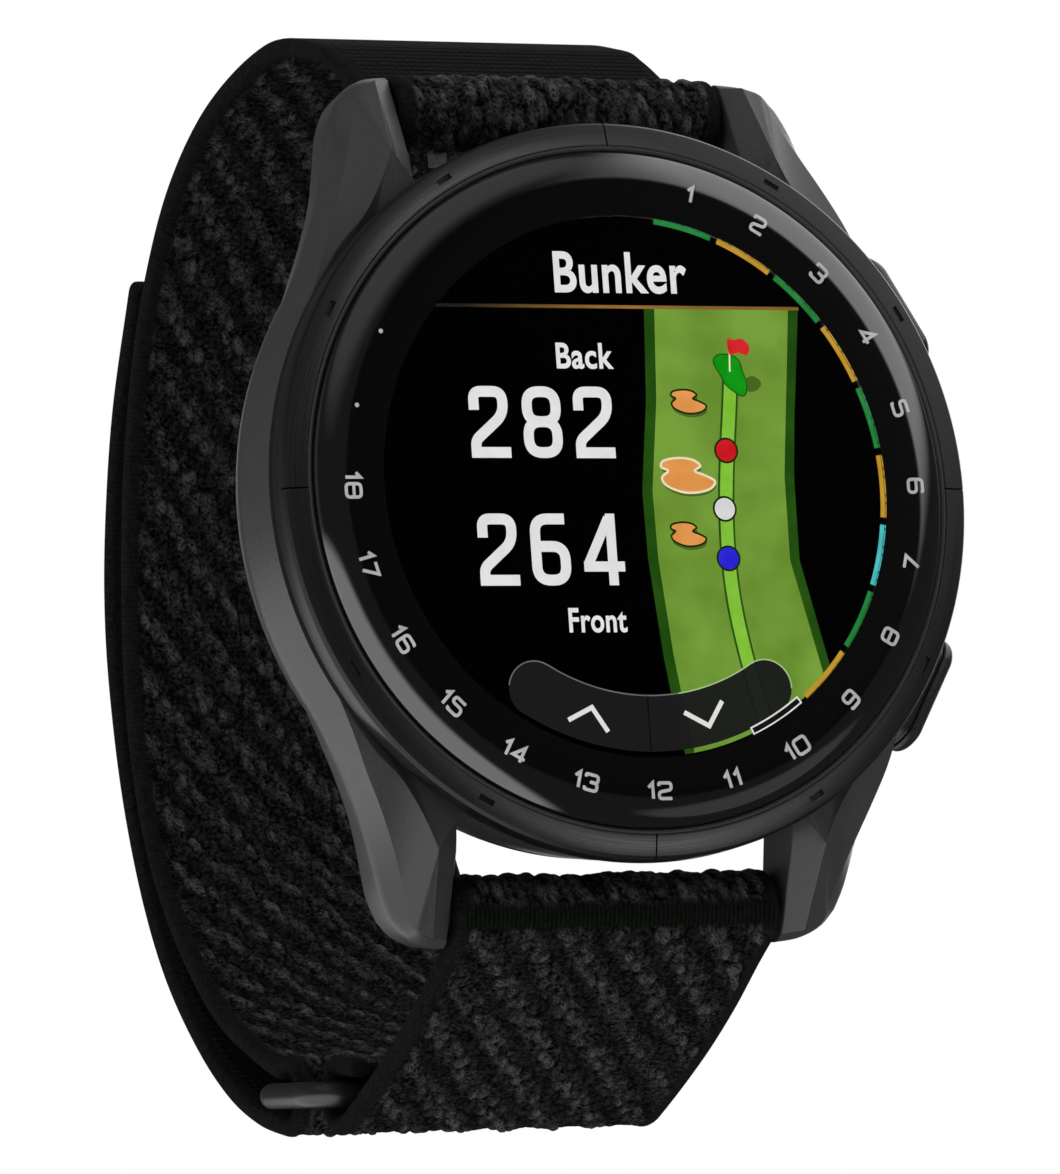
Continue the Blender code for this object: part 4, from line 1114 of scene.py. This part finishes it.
def fabric_look(name, coarse_low, coarse_high):
    """Black nylon weave: fibres on the tufts, fine loops on the other face, ribs at the edge; painted
    shade darkens the valleys between the tufts and their tops are painted lighter.
    """
    made, shader, nodes = new_material(name, coarse_high, 0.85, Specular_IOR_Level=0.015)
    across, along, face, pile, tone, band, stitch = (
        nodes.attribute(label) for label in ("across", "along", "face", "pile", "tone", "band", "stitch"))

    def wave(value, scale, low, high):
        return nodes.remap(nodes.math('SINE', nodes.times(value, scale)), -1.0, 1.0, low, high)

    strand = nodes.combine(nodes.times(nodes.plus(across, along), 3.0),
                           nodes.times(nodes.math('SUBTRACT', across, along), 6.0),
                           nodes.times(tone, 25.0))
    fibre = nodes.noise(strand, 1.0, 3.0, 0.6)
    fuzz = nodes.noise(nodes.combine(across, along, tone), 3.6, 4.0, 0.7)
    # Painted shade: the tufts' height lightens their tops and darkens the valleys between them.
    painted_tuft_shading = nodes.times(nodes.math('POWER', pile, 1.2), nodes.plus(tone, 0.1))
    painted_tuft_shading = nodes.times(painted_tuft_shading, nodes.remap(fibre, 0.38, 0.62, 0.0, 2.0))
    ground = nodes.times(nodes.remap(fuzz, 0.45, 0.66, 0.0, 0.55), nodes.remap(band, 0.0, 1.0, 0.45, 1.0))
    coarse = nodes.mix(nodes.math('MINIMUM', nodes.plus(painted_tuft_shading, ground), 1.0), coarse_low, coarse_high)
    rows = nodes.math('ABSOLUTE', nodes.math('SINE', nodes.times(along, 4.9)))
    loops = nodes.times(rows, wave(across, 13.2, 0.55, 1.0))
    loops = nodes.times(loops, nodes.remap(fuzz, 0.3, 0.7, 0.5, 1.4))
    fine = nodes.mix(loops, (0.0035, 0.0035, 0.0038), (0.015, 0.015, 0.0158))
    edge = nodes.mix(nodes.remap(nodes.times(fuzz, wave(along, 21.0, 0.8, 1.1)), 0.3, 0.7),
                     (0.0055, 0.0055, 0.0058), (0.011, 0.011, 0.0114))
    fine_share = nodes.remap(face, -0.5, -1.0)
    colour = nodes.mix(nodes.remap(face, 0.5, 1.0), edge, coarse)
    colour = nodes.mix(fine_share, colour, fine)
    sewn = nodes.mix(nodes.remap(nodes.times(fuzz, wave(across, 23.0, 0.6, 1.2)), 0.25, 0.65),
                     (0.004, 0.005, 0.0038), (0.010, 0.0127, 0.0094))
    nodes.feed(shader, "Base Color", nodes.mix(stitch, colour, sewn))
    grain = nodes.plus(nodes.times(fibre, 0.7), nodes.times(fuzz, 0.6))
    loop_relief = nodes.times(loops, nodes.times(fine_share, 1.6))
    thread_relief = nodes.times(wave(across, 23.0, -1.0, 1.0), nodes.times(stitch, 0.5))
    relief = nodes.plus(nodes.plus(grain, loop_relief), thread_relief)
    nodes.feed(shader, "Normal", nodes.bump(relief, 1.0, 0.00022))
    return made


def zone(along, low, high, soft=0.12):
    """1 between two lengths along the strap, falling softly to 0 outside."""
    rise = np.clip((along - low) / soft + 0.5, 0, 1)
    fall = np.clip((high - along) / soft + 0.5, 0, 1)
    return rise * fall


def strap_section():
    """Once round the strap: places across it, rises from its middle, and kinds of surface.

    The kind is 1 on the coarse face, -1 on the fine face and 0 on the rolled edges.
    """
    coarse_x = np.linspace(-FACE_HALF, FACE_HALF, int(2 * FACE_HALF / FABRIC_STEP) + 1)
    fine_x = np.linspace(FACE_HALF, -FACE_HALF, FINE_STEPS + 1)
    turn = np.linspace(np.pi / 2, -np.pi / 2, EDGE_STEPS_ROUND + 2)[1:-1]
    edge_x = FACE_HALF + (STRAP_HALF - FACE_HALF) * np.cos(turn)
    level, none = np.ones(len(coarse_x)), np.zeros(len(edge_x))
    under = -np.ones(len(fine_x))
    across = np.concatenate([coarse_x, edge_x, fine_x, -edge_x[::-1]])
    rise = np.concatenate([level, np.sin(turn), under, np.sin(turn)[::-1]])
    kind = np.concatenate([level, none, under, none])
    return across, rise, kind


def weave(across, along, kind, seed, wrap_end, sewn):
    """The values that the fabric's material reads, and the height of the coarse face's lumps."""
    small, small_tone = tufts(across, along, 1.0, 1.0, seed)
    large, large_tone = tufts(across, along, 1.15, 0.2, seed + 9)
    share = zone(along, -1.0, wrap_end, 0.3)
    pile = small * (1 - share) + large * share
    tone = small_tone * (1 - share) + large_tone * share
    band = 0.5 + 0.5 * np.cos(2 * np.pi * (across - along / BAND_SLOPE) / BAND_PITCH)
    band = band * (1 - share) + 0.7 * share
    stitch = zone(along, *sewn) * (kind > 0.5)
    flat = np.clip((FACE_HALF - 0.35 - np.abs(across)) / 0.3 + 0.5, 0, 1)
    lumps = (0.36 * pile - 0.2) * (1 - stitch) - 0.13 * stitch
    values = {"across": across, "along": along, "pile": pile, "tone": tone, "stitch": stitch,
              "face": kind * flat, "band": band}
    return values, flat * (kind > 0.5) * lumps


def strap_mesh(name, places):
    """A closed mesh of rings of world points, with a cap on each end."""
    rows, columns = places.shape[:2]
    index = np.arange(rows * columns).reshape(rows, columns)
    after = np.roll(index, -1, axis=1)
    quads = np.stack([index[:-1], after[:-1], after[1:], index[1:]], axis=-1).reshape(-1, 4)
    faces = [tuple(quad) for quad in quads.tolist()]
    faces.append(tuple(reversed(index[0].tolist())))
    faces.append(tuple(index[-1].tolist()))
    mesh = bpy.data.meshes.new(name)
    mesh.from_pydata(world_points(places.reshape(-1, 3)).tolist(), [], faces)
    whole = bmesh.new()
    whole.from_mesh(mesh)
    bmesh.ops.recalc_face_normals(whole, faces=whole.faces)
    whole.to_mesh(mesh)
    whole.free()
    return mesh


def strap_piece(name, route, first, last, look, body, replaced, seed, wrap_end, sewn, ends):
    """A stretch of strap between two samples of its route, with tufts on its coarse face."""
    spots, sides, lengths = (part[first:last + 1] for part in route)
    across, rise, kind = strap_section()
    across, along = np.meshgrid(across, lengths)
    rise, kind = np.broadcast_to(rise, across.shape), np.broadcast_to(kind, across.shape)
    values, lumps = weave(across, along, kind, seed, wrap_end, sewn)
    closing = np.ones((len(lengths), 1))
    if ends[0]:
        closing[:3, 0] = END_TAPER
    if ends[1]:
        closing[-3:, 0] = END_TAPER[::-1]
    offset = (rise * (STRAP_THICK / 2 - 0.03) + lumps) * closing
    places = np.empty(across.shape + (3,))
    places[..., 0] = across * (1 - 0.03 * (1 - closing))
    places[..., 1] = spots[:, None, 0] + sides[:, None, 0] * offset
    places[..., 2] = spots[:, None, 1] + sides[:, None, 1] * offset
    mesh = strap_mesh(name, places)
    for label, numbers in values.items():
        attribute = mesh.attributes.new(label, 'FLOAT', 'POINT')
        attribute.data.foreach_set("value", np.ascontiguousarray(numbers, dtype=np.float32).ravel())
    return adopt(name, mesh, look, body, replaced, None)


def make_straps():
    # The two tones of the coarse face: the painted shade of the valleys between tufts, and the painted
    # light of their tops.
    look = fabric_look("strap_weave", (0.0006, 0.0006, 0.0007), (0.062, 0.062, 0.064))
    long = even_route(long_route())
    angles = np.degrees(np.arctan2(long[0][:, 1] - RING_REAR[1], long[0][:, 0] - RING_REAR[0])) % 360.0
    near = np.hypot(long[0][:, 0] - RING_REAR[0], long[0][:, 1] - RING_REAR[1]) < FOLD_RADIUS + 0.1
    long_end = int(np.nonzero(near & (angles >= LONG_END))[0][0])
    flap_start = int(np.nonzero(near & (angles >= FLAP_START))[0][0])
    settings = dict(seed=3.0, wrap_end=8.2, sewn=(-2.0, -1.0))
    strap_piece("long_strap_weave", long, 0, long_end, look, "long_strap_body", ("long_strap",),
                ends=(True, False), **settings)
    strap_piece("free_end_weave", long, flap_start, len(long[2]) - 1, look, "flap_body",
                ("strap_flap",), ends=(False, True), **settings)
    fold = strap_piece("fold_weave", long, long_end, flap_start, look, None, (), ends=(False, False),
                       **settings)
    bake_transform(fold)
    short = even_route(short_route())
    strap_piece("short_strap_weave", short, 0, len(short[2]) - 1, look, "short_strap_body",
                ("short_strap",), ends=(True, True), seed=17.0, wrap_end=7.0, sewn=(7.0, 8.15))


# Ring, buttons and case back

def make_ring():
    """The metal ring: round wire, two bars across the strap and a bend at each corner."""
    look, shader, nodes = new_material("ring_satin", (0.07, 0.07, 0.072), 0.34, 0.9)
    x, depth, height = nodes.separate(nodes.coords())
    lines = nodes.combine(nodes.times(x, 1500.0), nodes.times(depth, 14000.0),
                          nodes.times(height, 14000.0))
    brushing = nodes.noise(lines, 1.0, 3.0, 0.6)
    nodes.feed(shader, "Base Color", nodes.mix(brushing, (0.05, 0.05, 0.052), (0.09, 0.09, 0.093)))
    nodes.feed(shader, "Roughness", nodes.remap(brushing, 0.3, 0.7, 0.27, 0.4))
    nodes.feed(shader, "Normal", nodes.bump(brushing, 0.12, 0.00001))
    half_span = math.dist(RING_FRONT, RING_REAR) / 2
    middle = ((RING_FRONT[0] + RING_REAR[0]) / 2, (RING_FRONT[1] + RING_REAR[1]) / 2)
    run = Vector((RING_REAR[0] - RING_FRONT[0], RING_REAR[1] - RING_FRONT[1])).normalized()
    reach_x = RING_HALF - RING_WIRE
    rings = []
    for sign_x, sign_y, start in ((1, 1, 0), (-1, 1, 90), (-1, -1, 180), (1, -1, 270)):
        for step in range(15):
            angle = math.radians(start + 90.0 * step / 14)
            x = sign_x * (reach_x - RING_CORNER) + RING_CORNER * math.cos(angle)
            y = sign_y * (half_span - RING_CORNER) + RING_CORNER * math.sin(angle)
            out = Vector((math.cos(angle), math.sin(angle)))
            ring = []
            for turn in turns(32):
                flat = RING_WIRE * math.cos(turn)
                painted_tuft_shading = RING_WIRE * math.sin(turn)
                along = y + out.y * flat
                ring.append((x + out.x * flat, middle[0] + run.x * along - run.y * painted_tuft_shading,
                             middle[1] + run.y * along + run.x * painted_tuft_shading))
            rings.append(ring)
    skin("strap_link_ring", rings, False, look, "ring_body", ("strap_ring",), None)


def make_buttons():
    look = grained("button_satin", (0.0095, 0.0095, 0.0098), (0.014, 0.014, 0.0145), 0.3,
                   Specular_IOR_Level=0.6)
    steps = [(20.75, 0.0), (22.1, 0.0), (22.16, 0.05), (22.2, 0.16), (22.32, 0.16), (22.36, 0.05),
             (22.42, 0.0), (22.62, 0.0), (22.8, 0.05), (22.96, 0.16), (23.08, 0.32), (23.16, 0.52),
             (BUTTON_TOP, 0.8)]
    for label, angle in (("upper", BUTTON_ANGLE), ("lower", -BUTTON_ANGLE)):
        rings = []
        for radius, reach in ((0.6, 16.2), (0.6, 17.0), (0.4, 17.0), (0.4, 17.32), (0.6, 17.32),
                              (0.6, 20.75)):
            rings.append(pill_ring(angle, reach, radius, radius, None, 96))
        for reach, inset in steps:
            curve = None if reach < 21.5 else BUTTON_TOP
            rings.append(pill_ring(angle, reach, BUTTON_HALF_LONG - inset,
                                   BUTTON_HALF_WIDE - inset, curve, 96))
        skin(label + "_pusher", rings, True, look, label + "_button_body", (label + "_button",), 30.0)


def screw_spots():
    spots = []
    for angle in (50.0, 130.0, 230.0, 310.0):
        turn = math.radians(angle)
        spots.append((SCREW_CIRCLE * math.cos(turn), SCREW_CIRCLE * math.sin(turn)))
    return spots


def box_cutter(low, high):
    rings = []
    for depth in (low[1], high[1]):
        rings.append([(low[0], depth, low[2]), (high[0], depth, low[2]), (high[0], depth, high[2]),
                      (low[0], depth, high[2])])
    return cutter(rings)


def make_back(steel, gold):
    look = grained("back_polymer", (0.016, 0.016, 0.0165), (0.022, 0.022, 0.0228), 0.5)
    profile = [(19.75, 7.95), (19.75, 8.7), (19.35, 9.1), (13.0, 9.6), (12.2, 10.0), (10.4, 10.2),
               (10.4, 9.2), (12.0, 9.0), (12.8, 8.75), (17.2, 8.45), (17.2, 7.95)]
    cover = turned("case_back", rounded_loop(profile, 0.15, 3), look, "case", 192, ("back_cover",))
    cutters = [box_cutter((-PORT_HALF_WIDE, 7.0, PORT_HEIGHT - PORT_HALF_HIGH),
                          (PORT_HALF_WIDE, 10.0, PORT_HEIGHT + PORT_HALF_HIGH))]
    for spot in screw_spots():
        sink = [(0, 7.5), (0.65, 7.5), (0.65, 8.5), (1.1, 8.5), (1.1, 9.6), (0, 9.6)]
        cutters.append(turned("cutter", sink, None, None, 40, centre=spot))
    carve(cover, cutters, BACK_CREASE)
    for index, spot in enumerate(screw_spots()):
        head = [(0, 5.2), (0.5, 5.2), (0.5, 8.55), (0.95, 8.55), (0.95, 8.95), (0.4, 8.95),
                (0.4, 8.75), (0, 8.75)]
        turned("back_fastener_%d" % (index + 1), rounded(head, 0.06, 3), steel, "case", 48,
               ("back_screw_%d" % (index + 1),), centre=spot)
    for index in range(4):
        pin = [(0, 7.7), (0.28, 7.7), (0.28, 9.15), (0, 9.25)]
        turned("charging_pin_%d" % (index + 1), rounded(pin, 0.08, 3), gold, "case", 32,
               ("contact_pin_%d" % (index + 1),), 40.0, ((index - 1.5) * PIN_PITCH, PORT_HEIGHT))
    black = grained("sensor_gloss", (0.002, 0.002, 0.0022), (0.004, 0.004, 0.0042), 0.08, 3000.0,
                    0.0000005)
    window = [(0, 9.5), (10.25, 9.5), (10.25, 10.2), (8.2, BACK_DEPTH), (0, BACK_DEPTH)]
    turned("sensor_glass", rounded(window, 0.3, 5), black, "case", 128, ("sensor_window",))
    for label, spots, radius, dark, light in (
            ("led", ((0.0, 0.0), (0.0, 1.9), (0.0, -1.9)), 0.6, (0.02, 0.05, 0.025), (0.03, 0.08, 0.04)),
            ("receiver", ((3.4, 0.0), (-3.4, 0.0), (0.0, 4.6), (0.0, -4.6)), 1.05,
             (0.05, 0.03, 0.02), (0.08, 0.05, 0.035))):
        tint = grained("sensor_" + label + "_tint", dark, light, 0.15)
        plate("sensor_" + label + "s", [disc(spot, radius) for spot in spots], tint, 0, BACK_DEPTH)


def make_bar_springs(steel):
    """The coil springs in the spring bars, which shorten as the release pins are pulled back."""
    low, high, coils, steps = -4.4, 1.0, 6, 24
    coil_radius, wire_radius = 0.42, 0.1
    for end, spot in (("top", TOP_BAR), ("bottom", BOTTOM_BAR)):
        rings = []
        for step in range(coils * steps + 1):
            turn = 2 * math.pi * step / steps
            x = low + (high - low) * step / (coils * steps)
            ring = []
            for bend in turns(10):
                radius = coil_radius + wire_radius * math.cos(bend)
                ring.append((x + wire_radius * math.sin(bend), spot[0] + radius * math.cos(turn),
                             spot[1] + radius * math.sin(turn)))
            rings.append(ring)
        spring = skin(end + "_spring_wire", rings, True, steel, "case", (end + "_bar_spring",), None)
        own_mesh(spring)


def make_inside(steel, gold):
    """Detailed looks for the CAD parts that stay as they are."""
    rubber = grained("seal_rubber", (0.008, 0.008, 0.008), (0.016, 0.016, 0.016), 0.75)
    plastic = grained("inner_plastic", (0.010, 0.010, 0.0105), (0.018, 0.018, 0.019), 0.5)
    amber = grained("flex_film", (0.22, 0.09, 0.015), (0.34, 0.15, 0.03), 0.35, 2500.0)
    board = grained("board_mask", (0.008, 0.05, 0.022), (0.016, 0.085, 0.04), 0.35, 2200.0)
    foil = grained("cell_foil", (0.22, 0.23, 0.25), (0.34, 0.35, 0.37), 0.32, 900.0, 0.00003, 0.8)
    hooks, shader, nodes = new_material("hook_tape", (0.012, 0.012, 0.013), 0.6)
    cells = nodes.add("ShaderNodeTexVoronoi")
    nodes.feed(cells, "Vector", nodes.coords())
    nodes.feed(cells, "Scale", 1600.0)
    stubs = nodes.remap(cells.outputs["Distance"], 0.1, 0.5, 1.0, 0.0)
    nodes.feed(shader, "Base Color", nodes.mix(stubs, (0.004, 0.004, 0.0045), (0.028, 0.028, 0.03)))
    nodes.feed(shader, "Normal", nodes.bump(stubs, 1.0, 0.0003))
    for look, names in (
            (rubber, ("lens_gasket", "back_gasket", "upper_button_seal", "lower_button_seal")),
            (plastic, ("display_frame", "charging_port", "gps_chip")),
            (amber, ("display_flex", "button_flex")),
            (board, ("main_board", "sensor_board")),
            (foil, ("battery",)),
            (gold, ("antenna_ring",)),
            (hooks, ("hook_pad",)),
            (steel, ("shield_can", "vibration_motor", "upper_button_clip", "lower_button_clip",
                     "upper_switch", "lower_switch", "top_bar_tube", "bottom_bar_tube",
                     "top_release_pin", "bottom_release_pin"))):
        for name in names:
            paint(name, look)


# Stage

CAMERA_PLACE = (-0.2069, -0.45866, -0.08004)
CAMERA_AHEAD = (0.4035, 0.9026, 0.150)
CAMERA_UP = (-0.0015, -0.175, 0.985)
FOCAL_LENGTH = 182.56      # in millimetres, for a picture 24 mm high
PICTURE_HEIGHT = 24.0
FLOOR_HALF = 8.0
FLOOR_LEVEL = -0.5


def make_camera(scene):
    lens = bpy.data.cameras.new("camera")
    camera = linked("camera", lens)
    scene.camera = camera
    ahead = Vector(CAMERA_AHEAD).normalized()
    up = Vector(CAMERA_UP)
    up = (up - ahead * up.dot(ahead)).normalized()
    turn = Matrix((ahead.cross(up), up, -ahead)).transposed()
    camera.matrix_world = Matrix.Translation(CAMERA_PLACE) @ turn.to_4x4()
    lens.sensor_fit = 'VERTICAL'
    lens.sensor_height = PICTURE_HEIGHT
    lens.lens = FOCAL_LENGTH
    lens.clip_start = 0.01


def make_stage():
    scene = bpy.context.scene
    scene.view_settings.view_transform = 'Standard'
    make_camera(scene)
    floor_mesh = bpy.data.meshes.new("floor")
    corners = [(x * FLOOR_HALF, y * FLOOR_HALF, FLOOR_LEVEL)
               for x, y in ((-1, -1), (1, -1), (1, 1), (-1, 1))]
    floor_mesh.from_pydata(corners, [], [(0, 1, 2, 3)])
    floor = linked("floor", floor_mesh)
    look = grained("floor_paint", (0.86, 0.86, 0.86), (0.9, 0.9, 0.9), 0.8, 60.0)
    floor_mesh.materials.append(look)
    floor.visible_glossy = False
    make_world(scene)
    key = add_light("key", (-0.42, -0.28, 0.38), 0.4, 0.9)
    key.visible_glossy = False


def light_bezel(bezel):
    """Two small cards that draw the bright fans of the brushed bezel, at 6 and at 11 o'clock."""
    only = bpy.data.collections.new("bezel_only")
    only.objects.link(bezel)
    for name, spot, size, power in (("bezel_card_low", (0.2, -0.42, -0.16), 0.1, 0.2),
                                    ("bezel_card_high", (0.09, -0.42, 0.25), 0.08, 0.13)):
        card = add_light(name, spot, size, power)
        card.light_linking.receiver_collection = only


SEEN_IN_GLASS = (0.40, -0.90, 0.15)  # where the flat glass mirrors the camera's view; kept dark
SOFT_BOXES = (
    (1.35, (((0.0, -0.27, 1.0), 0.28, 0.42), ((1.0, 0.0, 0.0), 0.33, 0.55))),
    (1.25, (((-1.0, 0.0, -1.0), 0.25, 0.6), ((0.0, 0.0, -1.0), 0.0, 0.12),
            ((-1.0, 0.0, 0.0), -0.08, 0.06))),
    (0.25, (((-0.15, -0.5, 0.85), 0.7, 0.9),)),
    (0.23, (((0.6, -0.63, -0.45), 0.93, 0.955),)),
    (1.3, (((0.45, 0.87, 0.2), 0.92, 0.985),)),
    (0.45, (((0.72, 0.62, 0.29), 0.84, 0.96),)),
    (0.15, (((-0.9, 0.42, 0.1), 0.7, 0.92),)),
)
SOFT_GLOW = (
    (1.3, (((0.80, 0.23, 0.55), 0.38, 0.62),)),
    (0.8, (((0.62, 0.75, 0.23), 0.5, 0.9),)),
    (0.4, (((-0.1, -0.55, 0.83), 0.55, 0.9),)),
    (0.8, (((-0.97, 0.0, 0.2), 0.5, 0.9),)),
    (0.5, (((0.1, 0.9, 0.45), 0.2, 0.8),)),
)


def soft_edge(nodes, across, start, full, low=0.0, high=1.0):
    """A level that changes softly between two dot products of the ray with a direction."""
    dot = nodes.add("ShaderNodeVectorMath", operation='DOT_PRODUCT')
    nodes.feed(dot, 0, nodes.add("ShaderNodeTexCoord").outputs["Generated"])
    dot.inputs[1].default_value = across
    share = nodes.add("ShaderNodeMapRange", interpolation_type='SMOOTHSTEP')
    for socket, value in (("Value", dot.outputs["Value"]), ("From Min", start), ("From Max", full),
                          ("To Min", low), ("To Max", high)):
        nodes.feed(share, socket, value)
    return share.outputs[0]


def sum_of_boxes(nodes, boxes, base):
    """The light of soft boxes over an even base.

    Each box is its level and its soft edges: a direction across the edge, and the dot
    products at which the light starts and is full.
    """
    total = base
    for level, edges in boxes:
        for edge in edges:
            level = nodes.times(level, soft_edge(nodes, *edge))
        total = nodes.plus(total, level)
    return total


def make_world(scene):
    """White for the camera, soft boxes for reflections, and their broad glow for everything else."""
    world = bpy.data.worlds.new("studio")
    world.use_nodes = True
    scene.world = world
    nodes = Nodes(world)
    clear_mirror = soft_edge(nodes, SEEN_IN_GLASS, 0.962, 0.985, 1.0, 0.02)
    shine = nodes.times(sum_of_boxes(nodes, SOFT_BOXES, 0.05), clear_mirror)
    rays = nodes.add("ShaderNodeLightPath").outputs
    room = nodes.add("ShaderNodeMix", data_type='FLOAT')
    nodes.feed(room, 0, rays["Is Glossy Ray"])
    nodes.feed(room, 2, sum_of_boxes(nodes, SOFT_GLOW, 0.10))
    nodes.feed(room, 3, shine)
    level = room.outputs[0]
    back = world.node_tree.nodes["Background"]
    nodes.feed(back, "Color", nodes.mix(rays["Is Camera Ray"], nodes.combine(level, level, level),
                                        (1.0, 1.0, 1.0)))
    back.inputs["Strength"].default_value = 1.0


def add_light(name, spot, size, power):
    data = bpy.data.lights.new(name, 'AREA')
    data.shape = 'DISK'
    data.size = size
    data.energy = power
    lamp = linked(name, data)
    lamp.location = spot
    lamp.rotation_euler = (Vector((0, 0, 0)) - Vector(spot)).to_track_quat('-Z', 'Y').to_euler()
    lamp.visible_camera = False
    return lamp


def main():
    make_stage()
    make_case()
    bezel = make_bezel()
    make_lens()
    make_display()
    make_straps()
    make_ring()
    make_buttons()
    steel = grained("fine_steel", (0.12, 0.12, 0.123), (0.2, 0.2, 0.203), 0.36, 3500.0, 0.00001, 0.95)
    gold = grained("contact_gold", (0.5, 0.35, 0.11), (0.66, 0.47, 0.17), 0.3, 3500.0, 0.00001, 0.95)
    make_back(steel, gold)
    make_bar_springs(steel)
    make_inside(steel, gold)
    light_bezel(bezel)


main()
